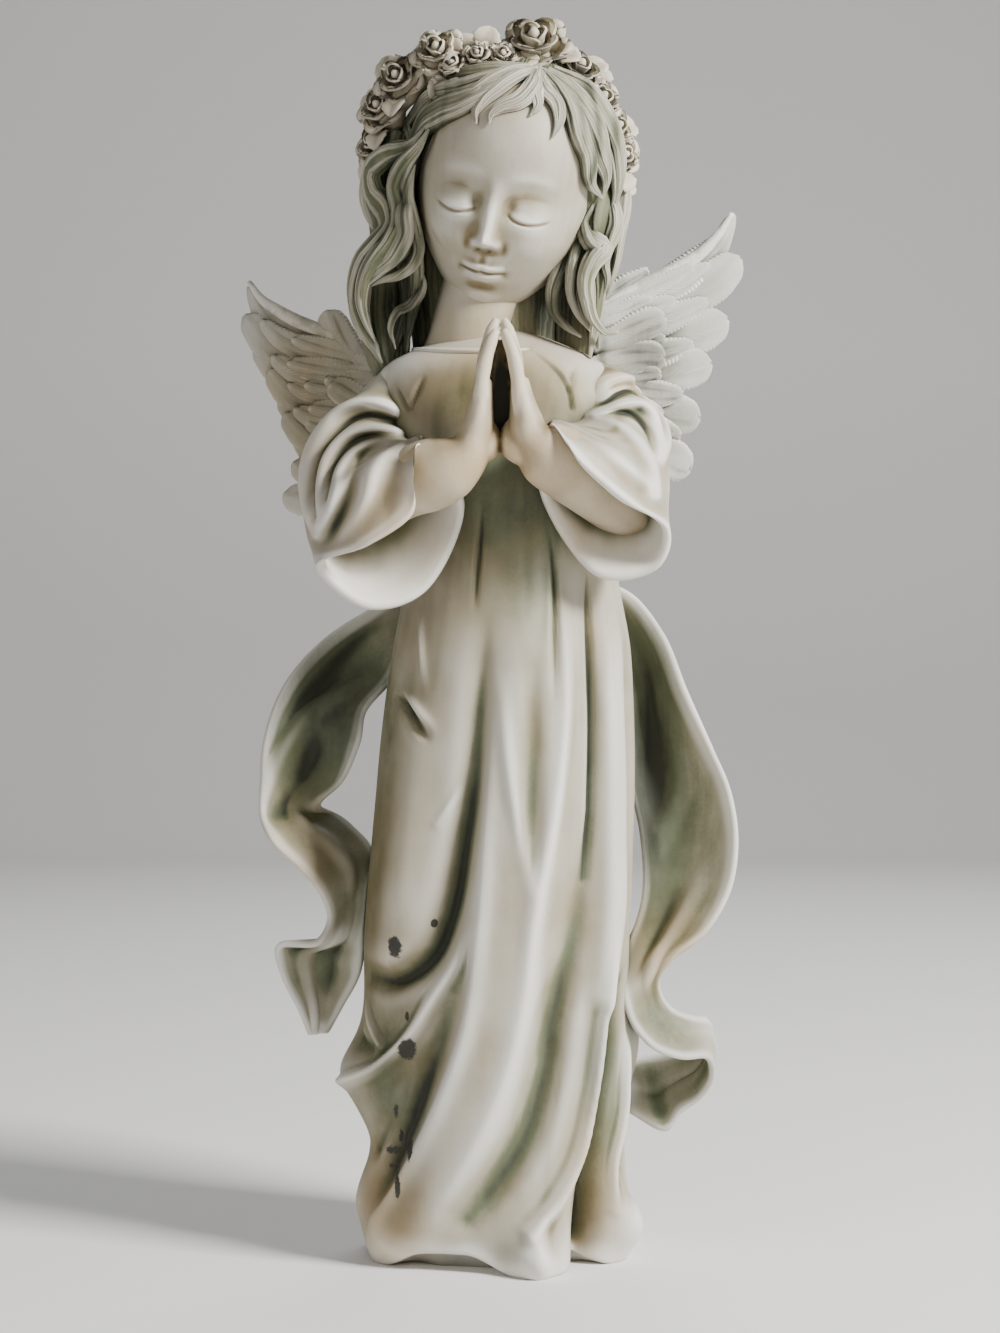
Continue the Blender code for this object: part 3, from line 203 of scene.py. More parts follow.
def setMark(mesh, name, values):
    mesh.attributes.new(name, "FLOAT", "POINT").data.foreach_set("value", values)


def makePiece(name, shells):
    points, faces, phase = joined(shells)
    mesh = bpy.data.meshes.new(name)
    mesh.vertices.add(len(points))
    mesh.vertices.foreach_set("co", (points * unit).ravel())
    mesh.loops.add(faces.size)
    mesh.loops.foreach_set("vertex_index", faces.ravel().astype(np.int32))
    mesh.polygons.add(len(faces))
    mesh.polygons.foreach_set("loop_start", np.arange(0, faces.size, 3, dtype=np.int32))
    mesh.update(calc_edges=True)
    mesh.validate()
    setMark(mesh, "strand", phase)
    mesh.shade_smooth()
    return addObject(name, mesh)


def applyModifiers(piece):
    graph = bpy.context.evaluated_depsgraph_get()
    mesh = bpy.data.meshes.new_from_object(piece.evaluated_get(graph))
    piece.modifiers.clear()
    piece.data = mesh
    return mesh


def fusePiece(piece, voxel, easing, triangles):
    # melts overlapping shells into one skin with soft joins between them
    fuse = piece.modifiers.new("fuse", "REMESH")
    fuse.mode = "VOXEL"
    fuse.voxel_size = voxel * unit
    ease = piece.modifiers.new("ease", "SMOOTH")
    ease.factor, ease.iterations = 0.5, easing
    fused = applyModifiers(piece)
    if 2 * len(fused.polygons) > triangles:
        thin = piece.modifiers.new("thin", "DECIMATE")
        thin.ratio = triangles / (2 * len(fused.polygons))
        fused = applyModifiers(piece)
    fused.attributes.new("strand", "FLOAT", "POINT")
    fused.shade_smooth()
    return piece


def readVectors(values, key, count):
    # three numbers for each vertex, as rows
    out = np.empty(count * 3)
    values.foreach_get(key, out)
    return out.reshape(-1, 3)


pieces = []

# gown
gown = {
    "rows": 300,
    "around": 270,
    "girthRadius": 42.0,
    "hemLift": 6.5,
    "backFolds": 7,
    "backFoldHeight": 3.2,
    "collarRadius": 1.0,
}
gownProfile = np.array(  # height, left edge, right edge, front, back
    (
        (311.0, -9.0, 8.0, -7.0, 10.0),
        (306.0, -24.0, 21.0, -17.0, 17.0),
        (300.0, -37.0, 34.0, -23.0, 20.0),
        (291.0, -42.0, 40.0, -27.0, 22.0),
        (278.0, -40.0, 39.0, -30.0, 24.0),
        (260.0, -34.0, 37.0, -31.0, 25.0),
        (240.0, -31.0, 38.0, -31.0, 25.0),
        (221.0, -33.0, 41.0, -32.0, 27.0),
        (204.0, -36.0, 44.0, -33.0, 29.0),
        (188.0, -38.5, 45.0, -34.0, 31.0),
        (171.0, -40.5, 45.5, -35.0, 32.0),
        (154.0, -42.0, 45.5, -35.5, 33.0),
        (137.0, -43.5, 45.0, -36.0, 34.0),
        (120.0, -45.0, 44.5, -36.0, 35.0),
        (103.0, -46.0, 43.5, -35.5, 35.0),
        (86.0, -46.0, 43.0, -35.0, 36.0),
        (69.0, -47.0, 43.0, -34.0, 36.0),
        (52.0, -47.0, 42.0, -34.0, 37.0),
        (35.0, -46.0, 42.0, -34.0, 37.0),
        (18.0, -45.0, 43.0, -34.0, 38.0),
        (0.0, -44.0, 42.0, -33.0, 38.0),
    )
)
frontFolds = (
    # pleats under the hands and the shallow gathers on the chest
    (((-5.8, 252, 0.0), (-7.0, 233, -2.0), (-8.4, 214, 0.0)), 1.2, 1.2, 2),
    (((15.5, 246, 0.0), (18.0, 225, -2.0), (17.7, 206, -1.6), (17.0, 185, 0.0)), 1.2, 1.2, 2),
    (((-35.0, 291.5, 0.0), (-33.0, 287, -1.1), (-30.5, 282, -1.2)), 0.9, 0.9, 2),
    (((-24.6, 293.5, 0.0), (-27.0, 288, -1.2), (-29.4, 282, -1.2)), 0.9, 0.9, 2),
    (((8.5, 302, 0.0), (14.4, 297.8, -0.8), (19.6, 293.2, -1.1), (22.5, 288.6, -1.4),
      (23.8, 282, -1.4)),
     0.9, 0.9, 2),
    (((24.6, 298, 0.0), (23.7, 292, -0.9), (22.9, 288, -0.5)), 0.9, 0.9, 2),
    (((-26.3, 217, 0.0), (-25.5, 202, 1.3), (-24.6, 188, 0.0)), 1.2, 1.4, 2),
    # long crease left of the white panel, opening into the deep hollow
    (((28.7, 232, 0.0), (29.7, 206, -3.0), (30.6, 180, -3.4), (30.0, 150, -3.2),
      (29.0, 128, -1.0)),
     1.8, 1.4, 2),
    (((29.0, 150, 0.0), (27.5, 122, -3.6), (24.0, 100, -5.4), (19.5, 82, -6.8), (15.8, 61, -7.2),
      (10.0, 44, -7.0), (1.0, 31, -6.0), (-11.0, 19, -3.0)), 6.5, 5.0, 2),
    # white panel at the right and the narrow edge it ends in
    (((36.0, 222, 0.0), (36.5, 190, 2.6), (37.0, 150, 3.2), (36.0, 108, 3.4), (34.0, 90, 2.0)),
     6.0, 7.0, 4),
    (((36.5, 112, 0.0), (34.2, 90, 3.0), (31.8, 72, 4.2), (29.0, 54, 4.8), (25.0, 37, 5.0),
      (18.5, 24, 5.0), (9.0, 14, 3.6)), 2.2, 2.6, 2),
    # recess behind that edge
    (((42.0, 98, 0.0), (37.5, 84, -4.0), (35.0, 66, -5.4), (31.5, 44, -6.0), (29.0, 24, -6.0),
      (28.0, 10, -4.0)), 3.0, 3.0, 2),
    (((40.5, 76, 0.0), (40.0, 62, 2.6), (39.6, 48, 3.4), (36.5, 33, 3.2), (35.0, 18, 1.2)),
     1.6, 2.0, 2),
    # broad middle panel, swinging to the left hem, and its crisp left border
    (((12.0, 222, 0.0), (11.5, 190, 2.0), (9.0, 160, 3.0), (5.5, 128, 4.2), (1.5, 98, 5.2),
      (-3.5, 72, 5.8), (-10.0, 50, 6.0), (-19.0, 31, 5.6), (-30.0, 14, 4.2)), 12.0, 11.5, 4),
    (((-3.9, 186, 0.0), (-4.5, 160, 1.2), (-6.2, 124, 2.0), (-8.8, 97, 2.4), (-13.6, 72, 2.6),
      (-18.7, 58, 2.6), (-24.2, 45, 2.6), (-31.2, 29, 2.2), (-38.5, 15, 1.0)), 1.5, 3.2, 2),
    # forked valley in its upper half and the ridge at the right of it
    (((10.3, 204, 0.0), (10.4, 175, -2.0), (9.8, 148, -2.2), (9.0, 127, 0.0)), 3.2, 3.2, 2),
    (((0.5, 196, 0.0), (2.4, 168, 1.4), (6.2, 142, 1.6), (8.8, 124, 0.6)), 2.2, 2.2, 2),
    (((20.0, 218, 0.0), (21.0, 184, 2.0), (16.5, 148, 2.8), (11.0, 120, 2.6), (7.2, 88, 1.8),
      (-0.5, 58, 1.4), (-11.5, 34, 1.0), (-22.0, 16, 0.0)), 2.8, 2.4, 2),
    # dark hollow beside the middle panel, running under the knee
    (((-5.0, 216, 0.0), (-6.4, 190, -2.4), (-8.6, 160, -4.2), (-12.0, 139, -6.0),
      (-16.0, 118, -6.8), (-22.3, 102.5, -6.2), (-32.0, 94.5, -5.0), (-44.0, 94, -2.0)),
     4.2, 3.0, 2),
    (((-12.0, 160, 0.0), (-16.0, 152, 1.2), (-20.0, 146, 0.6)), 1.6, 1.6, 2),
    # knee
    (((-26.0, 190, 0.0), (-28.5, 165, 2.6), (-30.0, 138, 4.4), (-32.0, 118, 5.0),
      (-34.0, 108, 3.5)),
     11.5, 9.5, 2),
    # crisp creases below the knee, and the hollows round them
    (((-9.4, 116, 0.0), (-14.7, 101, 2.6), (-22.0, 89, 3.4), (-29.4, 76.6, 3.8),
      (-39.0, 65.5, 4.0), (-48.0, 58.5, 3.0)), 1.8, 2.6, 2),
    (((-46.0, 90, 0.0), (-42.6, 80, 2.0), (-38.4, 72.5, 2.4)), 1.3, 1.3, 2),
    (((-47.0, 84, 0.0), (-46.5, 74, -2.6), (-42.0, 70.5, -1.6)), 2.4, 2.2, 2),
    (((-14.0, 90, 0.0), (-22.0, 68, -3.4), (-29.0, 50, -4.4), (-35.0, 36, -4.0),
      (-38.5, 24, -1.0)),
     5.0, 3.6, 2),
    (((-33.5, 58, 0.0), (-38.0, 46, -2.2), (-42.0, 37, -2.6)), 3.6, 3.2, 2),
    (((-35.5, 188.5, 0.0), (-31.0, 184, -2.4), (-27.0, 178, -2.6),
      (-22.0, 172.5, 0.0)), 1.3, 1.9, 2),
    (((-33.0, 191.0, 0.0), (-27.0, 183.5, 1.2), (-20.5, 176.0, 0.0)), 1.4, 1.4, 2),
)
gownSwells = (  # bearing from the front, height, size, spread in degrees and in height
    (-84.0, 61.0, 7.0, 24.0, 11.0),
    (-86.0, 37.0, -2.6, 16.0, 8.0),
    (-74.0, 18.0, 4.5, 18.0, 10.0),
    (-60.0, 6.0, 4.5, 13.0, 9.0),
    (17.0, 5.0, 12.0, 12.0, 10.0),
    (22.0, 8.0, -3.0, 4.0, 9.0),
    (66.0, 12.0, 9.0, 13.0, 12.0),
    (76.0, 26.0, -3.0, 6.0, 9.0),
    (84.0, 72.0, 4.0, 16.0, 18.0),
    (41.0, 6.0, -7.0, 6.5, 18.0),
)
hemRests = (-64.0, 17.0, 66.0, 105.0, 150.0, -165.0, -120.0)  # bearings where the hem touches down


def gownSection(z):
    left, right, front, back = curveValues(gownProfile[:, 0], gownProfile[:, 1:], z).T
    return (left + right) / 2, (right - left) / 2, -front, back


def laidFlat(folds):
    out = []
    for points, left, right, power in folds:
        points = np.array(points, float)
        centre, half, _, _ = gownSection(points[:, 1])
        bearing = np.arcsin(np.clip((points[:, 0] - centre) / half, -0.98, 0.98))
        flat = np.column_stack((bearing * gown["girthRadius"], points[:, 1:]))
        out.append((flat, left, right, power))
    return out


def turnFrom(degrees, bearing):
    return (degrees - bearing + 180.0) % 360.0 - 180.0


def buildGown():
    angle = np.linspace(-math.pi, math.pi, gown["around"], endpoint=False)
    degrees = np.degrees(angle)
    lift = np.full(gown["around"], gown["hemLift"])
    for rest in hemRests:
        reach = (np.abs(turnFrom(degrees, rest)) - 8.0) / 24.0
        lift = np.minimum(lift, gown["hemLift"] * smoothStep(reach))
    top = gownProfile[0, 0]
    z = top + (lift - top) * np.linspace(0.0, 1.0, gown["rows"])[:, None]
    angles = np.broadcast_to(angle, z.shape)
    centre, half, front, back = (v.reshape(z.shape) for v in gownSection(z.ravel()))
    reach = np.where(np.cos(angles) > 0, front, back)
    flat = np.stack((angles * gown["girthRadius"], z), -1)
    relief = foldRelief(flat, laidFlat(frontFolds))
    for bearing, height, size, spread, tall in gownSwells:
        turn = turnFrom(np.degrees(angles), bearing)
        relief += size * bellCurve(turn, spread) * bellCurve(z - height, tall)
    behind = smoothStep((-np.cos(angles) - 0.05) / 0.5)
    fall = smoothStep((222.0 - z) / 60.0)
    sway = 0.25 * np.sin(z / 45.0)
    pleats = np.cos(gown["backFolds"] * 2 * (angles + sway))
    relief += behind * fall * gown["backFoldHeight"] * pleats
    outward = unitVectors(np.stack((np.sin(angles) / half, -np.cos(angles) / reach), -1))
    x = centre + half * np.sin(angles) + relief * outward[..., 0]
    y = -reach * np.cos(angles) + relief * outward[..., 1]
    rings = [np.stack((x, y, z), -1)]
    for inward, rise in ((0.97, -0.1), (0.94, 0.3), (0.82, 0.5), (0.72, None)):
        under = rings[0][-1].copy()
        under[:, :2] *= inward
        under[:, 2] = 0.0 if rise is None else under[:, 2] + rise * lift
        rings.append(np.maximum(under, (-1e3, -1e3, 0.0))[None])
    turn = np.linspace(0.0, 2 * math.pi, 64)
    collar = np.stack(
        (-4.0 + 25.0 * np.sin(turn), -2.0 - 20.5 * np.cos(turn), 304.0 - 3.0 * np.cos(turn)), 1
    )
    radius = gown["collarRadius"]
    return [
        loft(np.concatenate(rings)),
        sweep(collar, (0.0, 0.0, 1.0), radius, radius, 8),
    ]


pieces.append(makePiece("gown", buildGown()))
print("gown built")

# sleeves
sleeves = {
    "rows": 165,
    "around": 190,
    "wall": 3.2,
    "rollRest": 1.4,  # how far the cloth between the rolls lies behind the plain sleeve
    "lining": (  # how far up the sleeve, how much further in than the wall
        (1.0, 0.0),
        (0.98, 0.1),
        (0.95, 0.8),
        (0.92, 2.8),
        (0.89, 6.5),
        (0.87, 12.0),
    ),
    "rimRound": 0.35,  # share of the wall that the rounded rim stands out
}
rightArmSleeve = {
    "rings": (
        (-20.0, 299.0, -42.0, 297.0, 2.0, 12.0, 13.0),
        (-27.0, 287.0, -50.0, 288.0, 0.0, 16.0, 15.0),
        (-29.0, 279.0, -59.0, 279.0, -2.0, 19.0, 16.0),
        (-28.5, 274.0, -65.0, 266.0, -5.0, 23.0, 16.0),
        (-27.0, 273.0, -66.0, 252.0, -11.0, 29.0, 15.0),
        (-25.6, 273.0, -64.0, 240.0, -22.0, 31.0, 17.0),
    ),
    "cuff": (
        (-25.0, -50.5, 267.6),
        (-27.0, -60.4, 258.0),
        (-28.0, -61.2, 245.5),
        (-43.0, -59.0, 235.0),
        (-58.5, -49.0, 228.8),
        (-43.0, -41.0, 215.6),
        (-23.0, -34.0, 222.5),
        (-11.5, -33.0, 250.0),
    ),
    "folds": (
        (((-26, 274.5, 0.5), (-33, 281, 3.4), (-39, 284, 4.4), (-45.5, 285, 4.8),
          (-52, 283, 4.8), (-58, 277, 4.8), (-62.5, 269, 4.6), (-64, 261, 4.2),
          (-63.5, 252, 3.4), (-60, 240, 1.5)),
         2.6, 2.6, 2),
        (((-30, 276, -0.5), (-36, 278.5, -1.6), (-43.6, 280, -2.2), (-50.3, 278, -2.4),
          (-55.3, 273, -2.4), (-59.6, 265, -2.4), (-60.5, 256, -2.0), (-59.3, 245, -1.0)),
         1.2, 1.2, 2),
        (((-25.6, 273.2, 0.5), (-36, 275.2, 3.2), (-45.5, 275.4, 4.2), (-51.2, 272.6, 4.4),
          (-55.8, 267, 4.2), (-57.8, 260.5, 3.8), (-58.4, 253, 3.2), (-57.5, 244, 1.5)),
         2.2, 2.2, 2),
        (((-34, 273, -0.5), (-39, 273.2, -1.4), (-46.5, 271.2, -2.0), (-52, 266.3, -2.2),
          (-55.3, 259, -2.0), (-55.8, 250, -1.2)), 1.1, 1.1, 2),
        (((-34, 272.5, 0.6), (-41.7, 270.6, 2.8), (-48.5, 266.6, 3.4), (-52, 261, 3.4),
          (-52.8, 254, 2.8), (-54.5, 247, 2.4), (-58, 239, 1.0)), 2.0, 2.0, 2),
        (((-38, 270, 0.0), (-44.2, 266, -1.8), (-46.5, 259, -2.2), (-48.4, 251, -1.8),
          (-53.1, 241.5, -1.4), (-57.9, 233, -0.6)), 1.6, 2.4, 2),
        (((-29, 271.8, 0.6), (-35, 269, 2.0), (-40.4, 259, 2.4), (-43, 249, 2.4),
          (-48.5, 240, 2.0), (-58, 231, 0.6)), 2.6, 3.4, 2),
        (((-30, 264, 0.0), (-33.5, 255, -1.0), (-35, 246, -1.4), (-35, 238, -0.6)), 2.6, 2.6, 2),
        (((-26.5, 271, 0.6), (-27.5, 262.8, 1.2), (-28.9, 253.3, 1.4), (-29.8, 246.6, 1.0)),
         1.6, 1.4, 2),
    ),
}
leftArmSleeve = {
    "rings": (
        (20.0, 300.0, 40.0, 298.0, 2.0, 12.0, 13.0),
        (24.0, 289.0, 45.0, 292.0, 0.0, 16.0, 15.0),
        (23.0, 283.0, 52.0, 285.0, -2.0, 20.0, 16.0),
        (21.0, 280.0, 56.5, 272.0, -5.0, 24.0, 16.0),
        (19.0, 279.0, 57.0, 259.0, -12.0, 29.0, 15.0),
        (16.6, 279.0, 56.0, 249.0, -22.0, 31.0, 17.0),
    ),
    "cuff": (
        (15.6, -50.8, 273.0),
        (20.5, -60.5, 268.0),
        (27.0, -60.0, 260.0),
        (40.0, -55.0, 249.5),
        (54.5, -42.0, 241.0),
        (50.0, -35.0, 228.0),
        (30.0, -35.0, 227.0),
        (13.0, -34.0, 253.0),
    ),
    "folds": (
        (((25, 283.5, 0.5), (32, 289.6, 3.2), (37.8, 293.4, 4.2), (43.6, 294.6, 4.6),
          (48.8, 292.2, 4.6), (53, 286.2, 4.4), (55.2, 279.5, 3.8), (55.6, 272, 2.8),
          (54, 264, 1)),
         2.6, 2.6, 2),
        (((30, 282.8, -0.4), (34, 284.0, -1.6), (39.7, 287.4, -2.2), (45.5, 289.0, -2.2),
          (50.2, 286.0, -2.2), (52.6, 279.5, -1.6), (53.2, 272, -0.8)), 1.1, 1.1, 2),
        (((29, 280.6, 0.5), (34.9, 281.6, 2.8), (41.7, 284.2, 3.8), (47.2, 284.0, 4.0),
          (51.2, 279.5, 3.6), (52.4, 273.5, 3.0), (52.4, 266, 1.6)), 2.0, 2.0, 2),
        (((33, 279.6, -0.4), (39, 280.8, -1.6), (44.6, 279.6, -2.0), (49.2, 274.6, -1.8),
          (50.6, 268, -0.8)), 1.1, 1.1, 2),
        (((24, 281.0, 0.6), (31, 279.0, 2.0), (39, 276.2, 2.8), (45.5, 270.2, 3.0),
          (49.6, 262, 2.4), (50.6, 252, 1.2)), 2.6, 2.4, 2),
        (((22, 277, 0.0), (30, 268, -1.0), (38, 260, -1.4), (46, 253, -0.8)), 2.6, 2.6, 2),
        (((17.6, 271.4, 0.6), (22.3, 263.6, 1.2), (29.7, 256.2, 1.6), (38, 250.6, 1.6),
          (45.5, 248.2, 1.0)), 1.6, 1.6, 2),
        (((54, 242.6, -1.0), (48, 243.8, -2.6), (42, 245.6, -1.6), (36, 247, 0)), 1.2, 1.6, 2),
    ),
}


def sleeveSurface(shape):
    rows, around = sleeves["rows"], sleeves["around"]
    keys = np.linspace(0.0, 2 * math.pi, 8, endpoint=False)
    control = []
    for innerX, innerZ, outerX, outerZ, y, front, back in shape["rings"]:
        inner, outer = np.array((innerX, y, innerZ)), np.array((outerX, y, outerZ))
        depth = np.where(np.sin(keys) > 0, -front, back) * np.abs(np.sin(keys))
        ring = (inner + outer) / 2 + np.cos(keys)[:, None] * (inner - outer) / 2
        control.append(ring + depth[:, None] * np.array((0.0, 1.0, 0.0)))
    control.append(np.array(shape["cuff"]))
    loops = np.stack([loopThrough(ring, around) for ring in control])
    places = np.linspace(0.0, len(control) - 1.0, rows)
    loops = curveValues(np.arange(len(control)), loops.reshape(len(control), -1), places)
    loops = loops.reshape(rows, around, 3)
    facing = smoothStep(0.5 + 1.6 * np.sin(np.linspace(0.0, 2 * math.pi, around, endpoint=False)))
    edge = smoothStep(np.linspace(9.0, 0.0, rows))[:, None]
    relief = (foldRelief(loops[..., ::2], shape["folds"]) - sleeves["rollRest"]) * facing * edge
    return loops + unitVectors(loops - loops.mean(1, keepdims=True)) * relief[..., None]


def buildSleeve(shape):
    loops = sleeveSurface(shape)
    last = len(loops) - 1
    turn = np.linspace(0.0, 2 * math.pi, sleeves["around"], endpoint=False)
    # thinner where the cuff comes to a point
    thin = 1.0 - 0.8 * bellCurve(np.minimum(turn, 2 * math.pi - turn), 0.45)[:, None]
    inside = []
    for place, shrink in sleeves["lining"]:
        ring = loops[int(round(place * last))]
        inside.append(ring + unitVectors(ring.mean(0) - ring) * (sleeves["wall"] + shrink) * thin)
    # rounds the cuff's rim
    outwards = unitVectors(loops[-1] - loops[-4]) * thin
    rim = (loops[-1] + inside[0]) / 2 + outwards * sleeves["wall"] * sleeves["rimRound"]
    return loft(np.concatenate((loops, rim[None], np.array(inside))))


pieces.append(makePiece("sleeves", [buildSleeve(rightArmSleeve), buildSleeve(leftArmSleeve)]))
print("sleeves built")

# hands and forearms
hands = {
    "voxel": 0.55,
    "easing": 5,
    "triangles": 70000,
    "fingerRadius": 2.45,
    "thumbRadius": 2.5,
}
rightArm = (  # x, y, z, half thickness across x, half width along y
    (-44.0, -20.0, 246.0, 8.0, 9.0),
    (-33.0, -33.0, 251.5, 7.6, 7.6),
    (-24.5, -43.5, 257.6, 11.6, 11.2),
    (-15.5, -47.5, 261.0, 10.2, 10.8),
    (-9.6, -49.0, 266.0, 7.0, 8.8),
    (-7.0, -49.5, 274.0, 5.0, 8.4),
    (-6.0, -50.0, 281.0, 3.8, 8.4),
    (-5.2, -50.0, 288.0, 2.8, 8.4),
)
leftArm = (
    (44.0, -18.0, 245.0, 8.0, 9.0),
    (32.0, -33.0, 252.5, 8.8, 9.2),
    (22.0, -43.5, 260.8, 11.0, 11.2),
    (14.5, -47.5, 265.5, 10.4, 10.8),
    (9.6, -49.0, 270.0, 7.2, 8.8),
    (8.0, -49.5, 276.5, 5.2, 8.4),
    (7.0, -50.0, 282.0, 3.9, 8.4),
    (6.2, -50.0, 288.0, 2.9, 8.4),
)
fingers = (  # depth y, knuckle height, tip height, radius share
    (-56.3, 284.0, 304.0, 0.98),
    (-52.0, 285.5, 308.0, 1.0),
    (-47.6, 284.5, 306.0, 0.98),
    (-43.4, 282.0, 300.5, 0.86),
)
thumb = (  # distance from the middle, y, z
    (8.0, -49.0, 262.0),
    (7.4, -52.5, 270.0),
    (6.2, -55.4, 278.0),
    (5.2, -56.6, 285.0),
    (4.8, -56.6, 289.0),
)
heel = (  # the pad where the palms meet
    (12.0, -48.5, 263.0),
    (7.0, -49.0, 264.5),
    (3.8, -49.5, 268.0),
    (4.4, -49.5, 275.0),
)
palmShadeSheet = (  # a sheet filling the gap between the palms, painted dark as the shade in that gap
    (1.8, -44.5, 268.0),
    (1.8, -44.5, 282.0),
    (0.8, -46.5, 301.0),
)


def buildHand(stations):
    side = math.copysign(1.0, stations[0][0])
    line = pathThrough(stations, 60)
    tangent = unitVectors(np.gradient(line[:, :3], axis=0))
    depth = np.array((0.0, 1.0, 0.0))
    depth = unitVectors(depth - tangent * (tangent @ depth)[:, None])
    shells = [sweep(line[:, :3], depth, line[:, 3], line[:, 4], 36)]
    for y, knuckle, tip, share in fingers:
        reach = tip - knuckle
        path = pathThrough(
            (
                (side * 6.4, (y * 2 - 50.0) / 3, knuckle - 8.0),
                (side * 5.9, y, knuckle),
                (side * 4.8, y, knuckle + 0.42 * reach),
                (side * 3.0, y * 0.985 - 0.7, knuckle + 0.74 * reach),
                (side * 1.1, y * 0.96 - 2.0, tip - 0.6),
            ),
            26,
        )
        t = np.linspace(0.0, 1.0, 26)
        girth = hands["fingerRadius"] * share * curveValues(
            (0.0, 0.25, 0.42, 0.55, 0.72, 0.9, 1.0), (0.9, 1.05, 0.93, 1.0, 0.88, 0.78, 0.42), t
        )
        shells.append(sweep(path, depth[0], girth, girth, 14))
    mirror = np.array((side, 1.0, 1.0))
    t = np.linspace(0.0, 1.0, 24)
    girth = hands["thumbRadius"] * curveValues(
        (0.0, 0.3, 0.6, 0.85, 1.0), (1.15, 0.95, 0.84, 0.74, 0.36), t
    )
    shells.append(sweep(pathThrough(mirror * thumb, 24), depth[0], girth, girth, 14))
    girth = curveValues((0.0, 0.6, 1.0), (3.0, 3.8, 1.8), np.linspace(0.0, 1.0, 16))
    shells.append(sweep(pathThrough(mirror * heel, 16), depth[0], girth, girth * 1.6, 20))
    shells.append(sweep(pathThrough(mirror * palmShadeSheet, 12), (0.0, 1.0, 0.0), 3.4, 1.6, 12))
    return shells


handsPiece = makePiece("handsAndForearms", buildHand(rightArm) + buildHand(leftArm))
pieces.append(fusePiece(handsPiece, hands["voxel"], hands["easing"], hands["triangles"]))
print("hands built")

# head and neck
head = {
    "centre": (3.0, -8.0, 357.5),
    "half": (30.0, 35.0, 42.0),
    "lean": 13.0,
    "turn": -5.0,
    "bow": 19.0,
    "rows": 225,
    "around": 280,
}
headAxes = np.array(
    Matrix.Rotation(math.radians(head["lean"]), 3, "Y")
    @ Matrix.Rotation(math.radians(head["turn"]), 3, "Z")
    @ Matrix.Rotation(math.radians(head["bow"]), 3, "X")
)


neckLine = ((-11.0, 2.0, 296.0), (-9.0, -4.0, 313.0), (-3.0, -5.0, 333.0))


def fromHead(points):
    return np.asarray(points, float) @ headAxes.T + np.array(head["centre"])


faceSwells = (  # x, z, how far forward, spread in x and in z; off-centre ones on both sides
    (0.0, 20.0, 1.2, 18.0, 11.0),
    (23.0, 8.0, -1.2, 6.0, 10.0),
    (11.5, 0.4, -2.8, 8.5, 5.6),
    (5.4, -2.0, -1.7, 2.5, 3.4),
    (16.0, -13.0, 2.5, 9.0, 8.0),
    (0.0, -13.4, 2.0, 2.7, 2.4),
    (3.6, -14.6, 1.3, 1.7, 1.7),
    (6.2, -15.4, -0.5, 1.3, 2.2),
    (1.8, -16.6, -0.5, 0.9, 0.7),
    (0.0, -23.0, 1.9, 9.0, 6.5),
    (0.0, -20.0, -0.22, 1.0, 1.8),
    (1.8, -20.2, 0.12, 0.9, 1.8),
    (7.6, -24.4, -0.45, 1.5, 1.4),
    (0.0, -29.6, -0.9, 5.0, 1.8),
    (0.0, -35.0, 2.4, 6.5, 4.0),
)


def faceRelief(x, z):
    total = np.zeros_like(x)
    for atX, atZ, size, wide, tall in faceSwells:
        for side in (-1, 1) if atX else (1,):
            total += size * bellCurve(x - side * atX, wide) * bellCurve(z - atZ, tall)
    # bridge of the nose
    bridge = 1.0 + 3.6 * smoothStep((3.0 - z) / 16.0)
    ends = smoothStep((9.0 - z) / 9.0) * smoothStep((z + 17.8) / 4.4)
    total += bridge * ends * bellCurve(x, 2.6 + 0.5 * smoothStep((-z - 5.0) / 8.0))
    # closed lids, their lash lines, the creases above them and the brows
    lid = np.abs(x) - 12.2
    total += 2.4 * np.exp(-(((lid / 7.6) ** 2 + ((z + 2.8) / 5.4) ** 2) ** 1.1))
    lash = -6.1 + 0.042 * lid**2
    inEye = np.exp(-((lid / 6.3) ** 6))
    total -= 1.0 * bellCurve(z - lash, 0.6) * inEye
    total += 0.25 * bellCurve(z - lash - 1.1, 0.8) * inEye
    total -= 0.18 * bellCurve(z - 2.2 + 0.035 * lid**2, 0.9) * np.exp(-((lid / 6.6) ** 6))
    brow = 8.0 - 0.026 * (np.abs(x) - 11.5) ** 2
    total += 0.35 * bellCurve(z - brow, 1.8) * np.exp(-(((np.abs(x) - 12.0) / 7.5) ** 4))
    # lips
    part = -24.4 + 0.016 * x**2 + 0.3 * bellCurve(x, 1.2)
    fullness = np.maximum(1.0 - (x / 7.6) ** 2, 0.0)
    total += 1.4 * (1.0 - 0.25 * bellCurve(x, 1.2)) * fullness * bellCurve(z - part - 1.3, 1.3)
    total += 1.9 * fullness * bellCurve(x, 5.6) * bellCurve(z - part + 1.9, 1.7)
    total -= 1.1 * np.exp(-((x / 6.8) ** 4)) * bellCurve(z - part, 0.55)
    return total


def denser(low, high, count, middle, spread, extra):
    # spaced values that crowd together round the middle
    fine = np.linspace(low, high, 2000)
    share = np.cumsum(1.0 + extra * bellCurve(fine - middle, spread))
    return np.interp(np.linspace(share[0], share[-1], count), share, fine)


